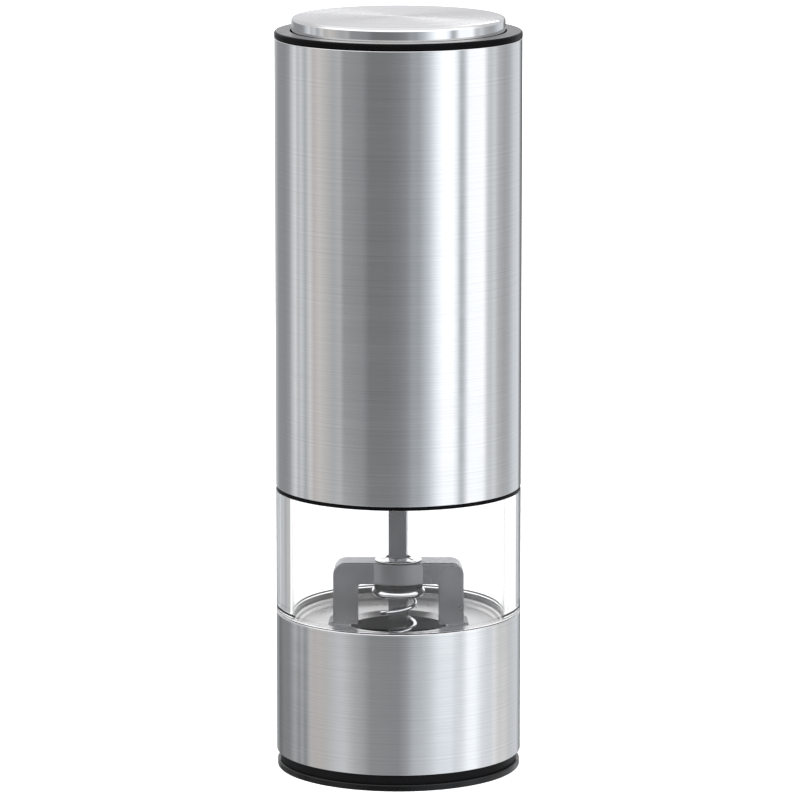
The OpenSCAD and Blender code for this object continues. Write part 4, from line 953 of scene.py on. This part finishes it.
LOW_LEFT_PANELS = [
    (-180, 0.3, -0.03), (-163, 0.28, -0.03), (-150, 0.13, -0.02), (-138, 0.2, -0.02),
    (-126, 0.2, -0.03), (-115, 0.32, -0.02), (-108, 0.22, -0.03), (-104, 0.32, -0.03),
    (-99, 0.21, -0.03), (-92, 0.4, 0.01), (-83, 0.4, 0.045), (-73, 0.41, 0.01),
    (-60, 0.5, -0.03), (-52, 0.52, -0.02), (-42, 0.4, -0.01), (-33, 0.33, -0.02),
    (-26, 0.25, -0.02), (0, 0.23, -0.03),
]
LOW_RIGHT_PANELS = [
    (0, 0.23, -0.03), (8, 0.31, -0.04), (14, 0.44, -0.055), (26, 0.52, -0.05),
    (38, 0.67, -0.06), (50, 0.7, -0.06), (55, 0.62, -0.055), (62, 0.74, -0.04),
    (70, 0.92, -0.04), (77, 0.92, -0.045), (86, 0.66, -0.04), (98, 0.64, -0.035),
    (103, 0.7, -0.01), (110, 0.58, 0), (120, 0.6, 0.005), (130, 0.5, -0.02),
    (150, 0.54, -0.05), (160, 0.28, -0.04), (172, 0.15, -0.02), (180, 0.15, 0),
]

# The same for what is lit through the clear plastic, and for what its thick wall mirrors at the
# two edges of the window
SEEN_THROUGH_LEFT = [
    (-180, 1.0, 0), (-152, 1.0, 0), (-144, 0.1, 0), (-98, 0.08, 0), (-88, 0.7, 0), (-68, 0.75, 0),
    (-45, 0.3, 0), (-18, 0.26, 0), (0, 0.32, -0.02),
]
SEEN_THROUGH_RIGHT = [
    (0, 0.32, -0.02), (10, 0.42, -0.02), (28, 0.62, -0.02), (60, 0.85, 0), (88, 0.85, 0),
    (98, 0.08, 0), (144, 0.1, 0), (152, 1.0, 0), (180, 1.0, 0),
]
WALL_LEFT = [
    (-180, 0.56, -0.03), (-162, 0.56, -0.03), (-160, 0.36, -0.02), (-152, 0.36, -0.02),
    (-150, 0.28, -0.02), (-145, 0.28, -0.02), (-143, 0.36, 0), (-137, 0.33, 0), (-135, 0.85, 0),
    (0, 0.85, 0),
]
WALL_RIGHT = [
    (0, 0.75, 0), (143, 0.75, 0), (147, 1.0, 0), (160, 1.0, 0), (163, 0.34, -0.04),
    (172, 0.34, -0.04), (175, 0.12, -0.02), (180, 0.12, -0.02),
]


def soft_panel(name, place, size, power, target=(0, 0, 0.09), seen_in_gloss=False):
    bpy.ops.object.select_all(action="DESELECT")
    bpy.ops.object.light_add(type="AREA", location=place)
    panel = bpy.context.active_object
    panel.name = name
    panel.data.size = size
    panel.data.energy = power
    aim = [t - p for t, p in zip(target, place)]
    flat = math.hypot(aim[0], aim[1])
    panel.rotation_euler = (math.atan2(flat, -aim[2]), 0, math.atan2(-aim[0], aim[1]))
    panel.visible_glossy = seen_in_gloss
    panel.visible_camera = False
    panel.visible_transmission = False


def floor():
    bpy.ops.object.select_all(action="DESELECT")
    bpy.ops.mesh.primitive_plane_add(size=14)
    ground = bpy.context.active_object
    ground.name = "Floor"
    finish = Finish("Pale floor", (0.93, 0.93, 0.93), 0.0, 0.9)
    grain = finish.use(GRAIN, Size=40.0)
    finish.roughen(grain.outputs["Patches"], 0.85, 0.95)
    finish.shader.inputs["Emission Color"].default_value = (1, 1, 1, 1)
    finish.shader.inputs["Emission Strength"].default_value = 0.35
    ground.data.materials.append(finish.material)
    ground.visible_glossy = False
    ground.visible_transmission = False


def camera():
    """A long lens in front of the object, a little above it and tilted down."""
    data = bpy.data.cameras.new("Camera")
    data.lens = CAMERA_LENS
    data.sensor_width = 36
    data.shift_x = CAMERA_SHIFT
    data.clip_end = 50
    view = bpy.data.objects.new("Camera", data)
    bpy.context.scene.collection.objects.link(view)
    view.location = CAMERA_PLACE
    view.rotation_euler = (math.radians(90 - CAMERA_TILT), 0, 0)
    bpy.context.scene.camera = view


studio_world()
soft_panel("Top_panel", (0, -0.1, 1.6), 1.4, 22)
soft_panel("Left_panel", (-1.2, -0.9, 0.9), 0.9, 8)
soft_panel("Back_panel", (0.42, 1.5, 0.95), 0.5, 2, (0, 0, 0.166), True)
floor()
camera()
bpy.context.scene.view_settings.view_transform = "Standard"
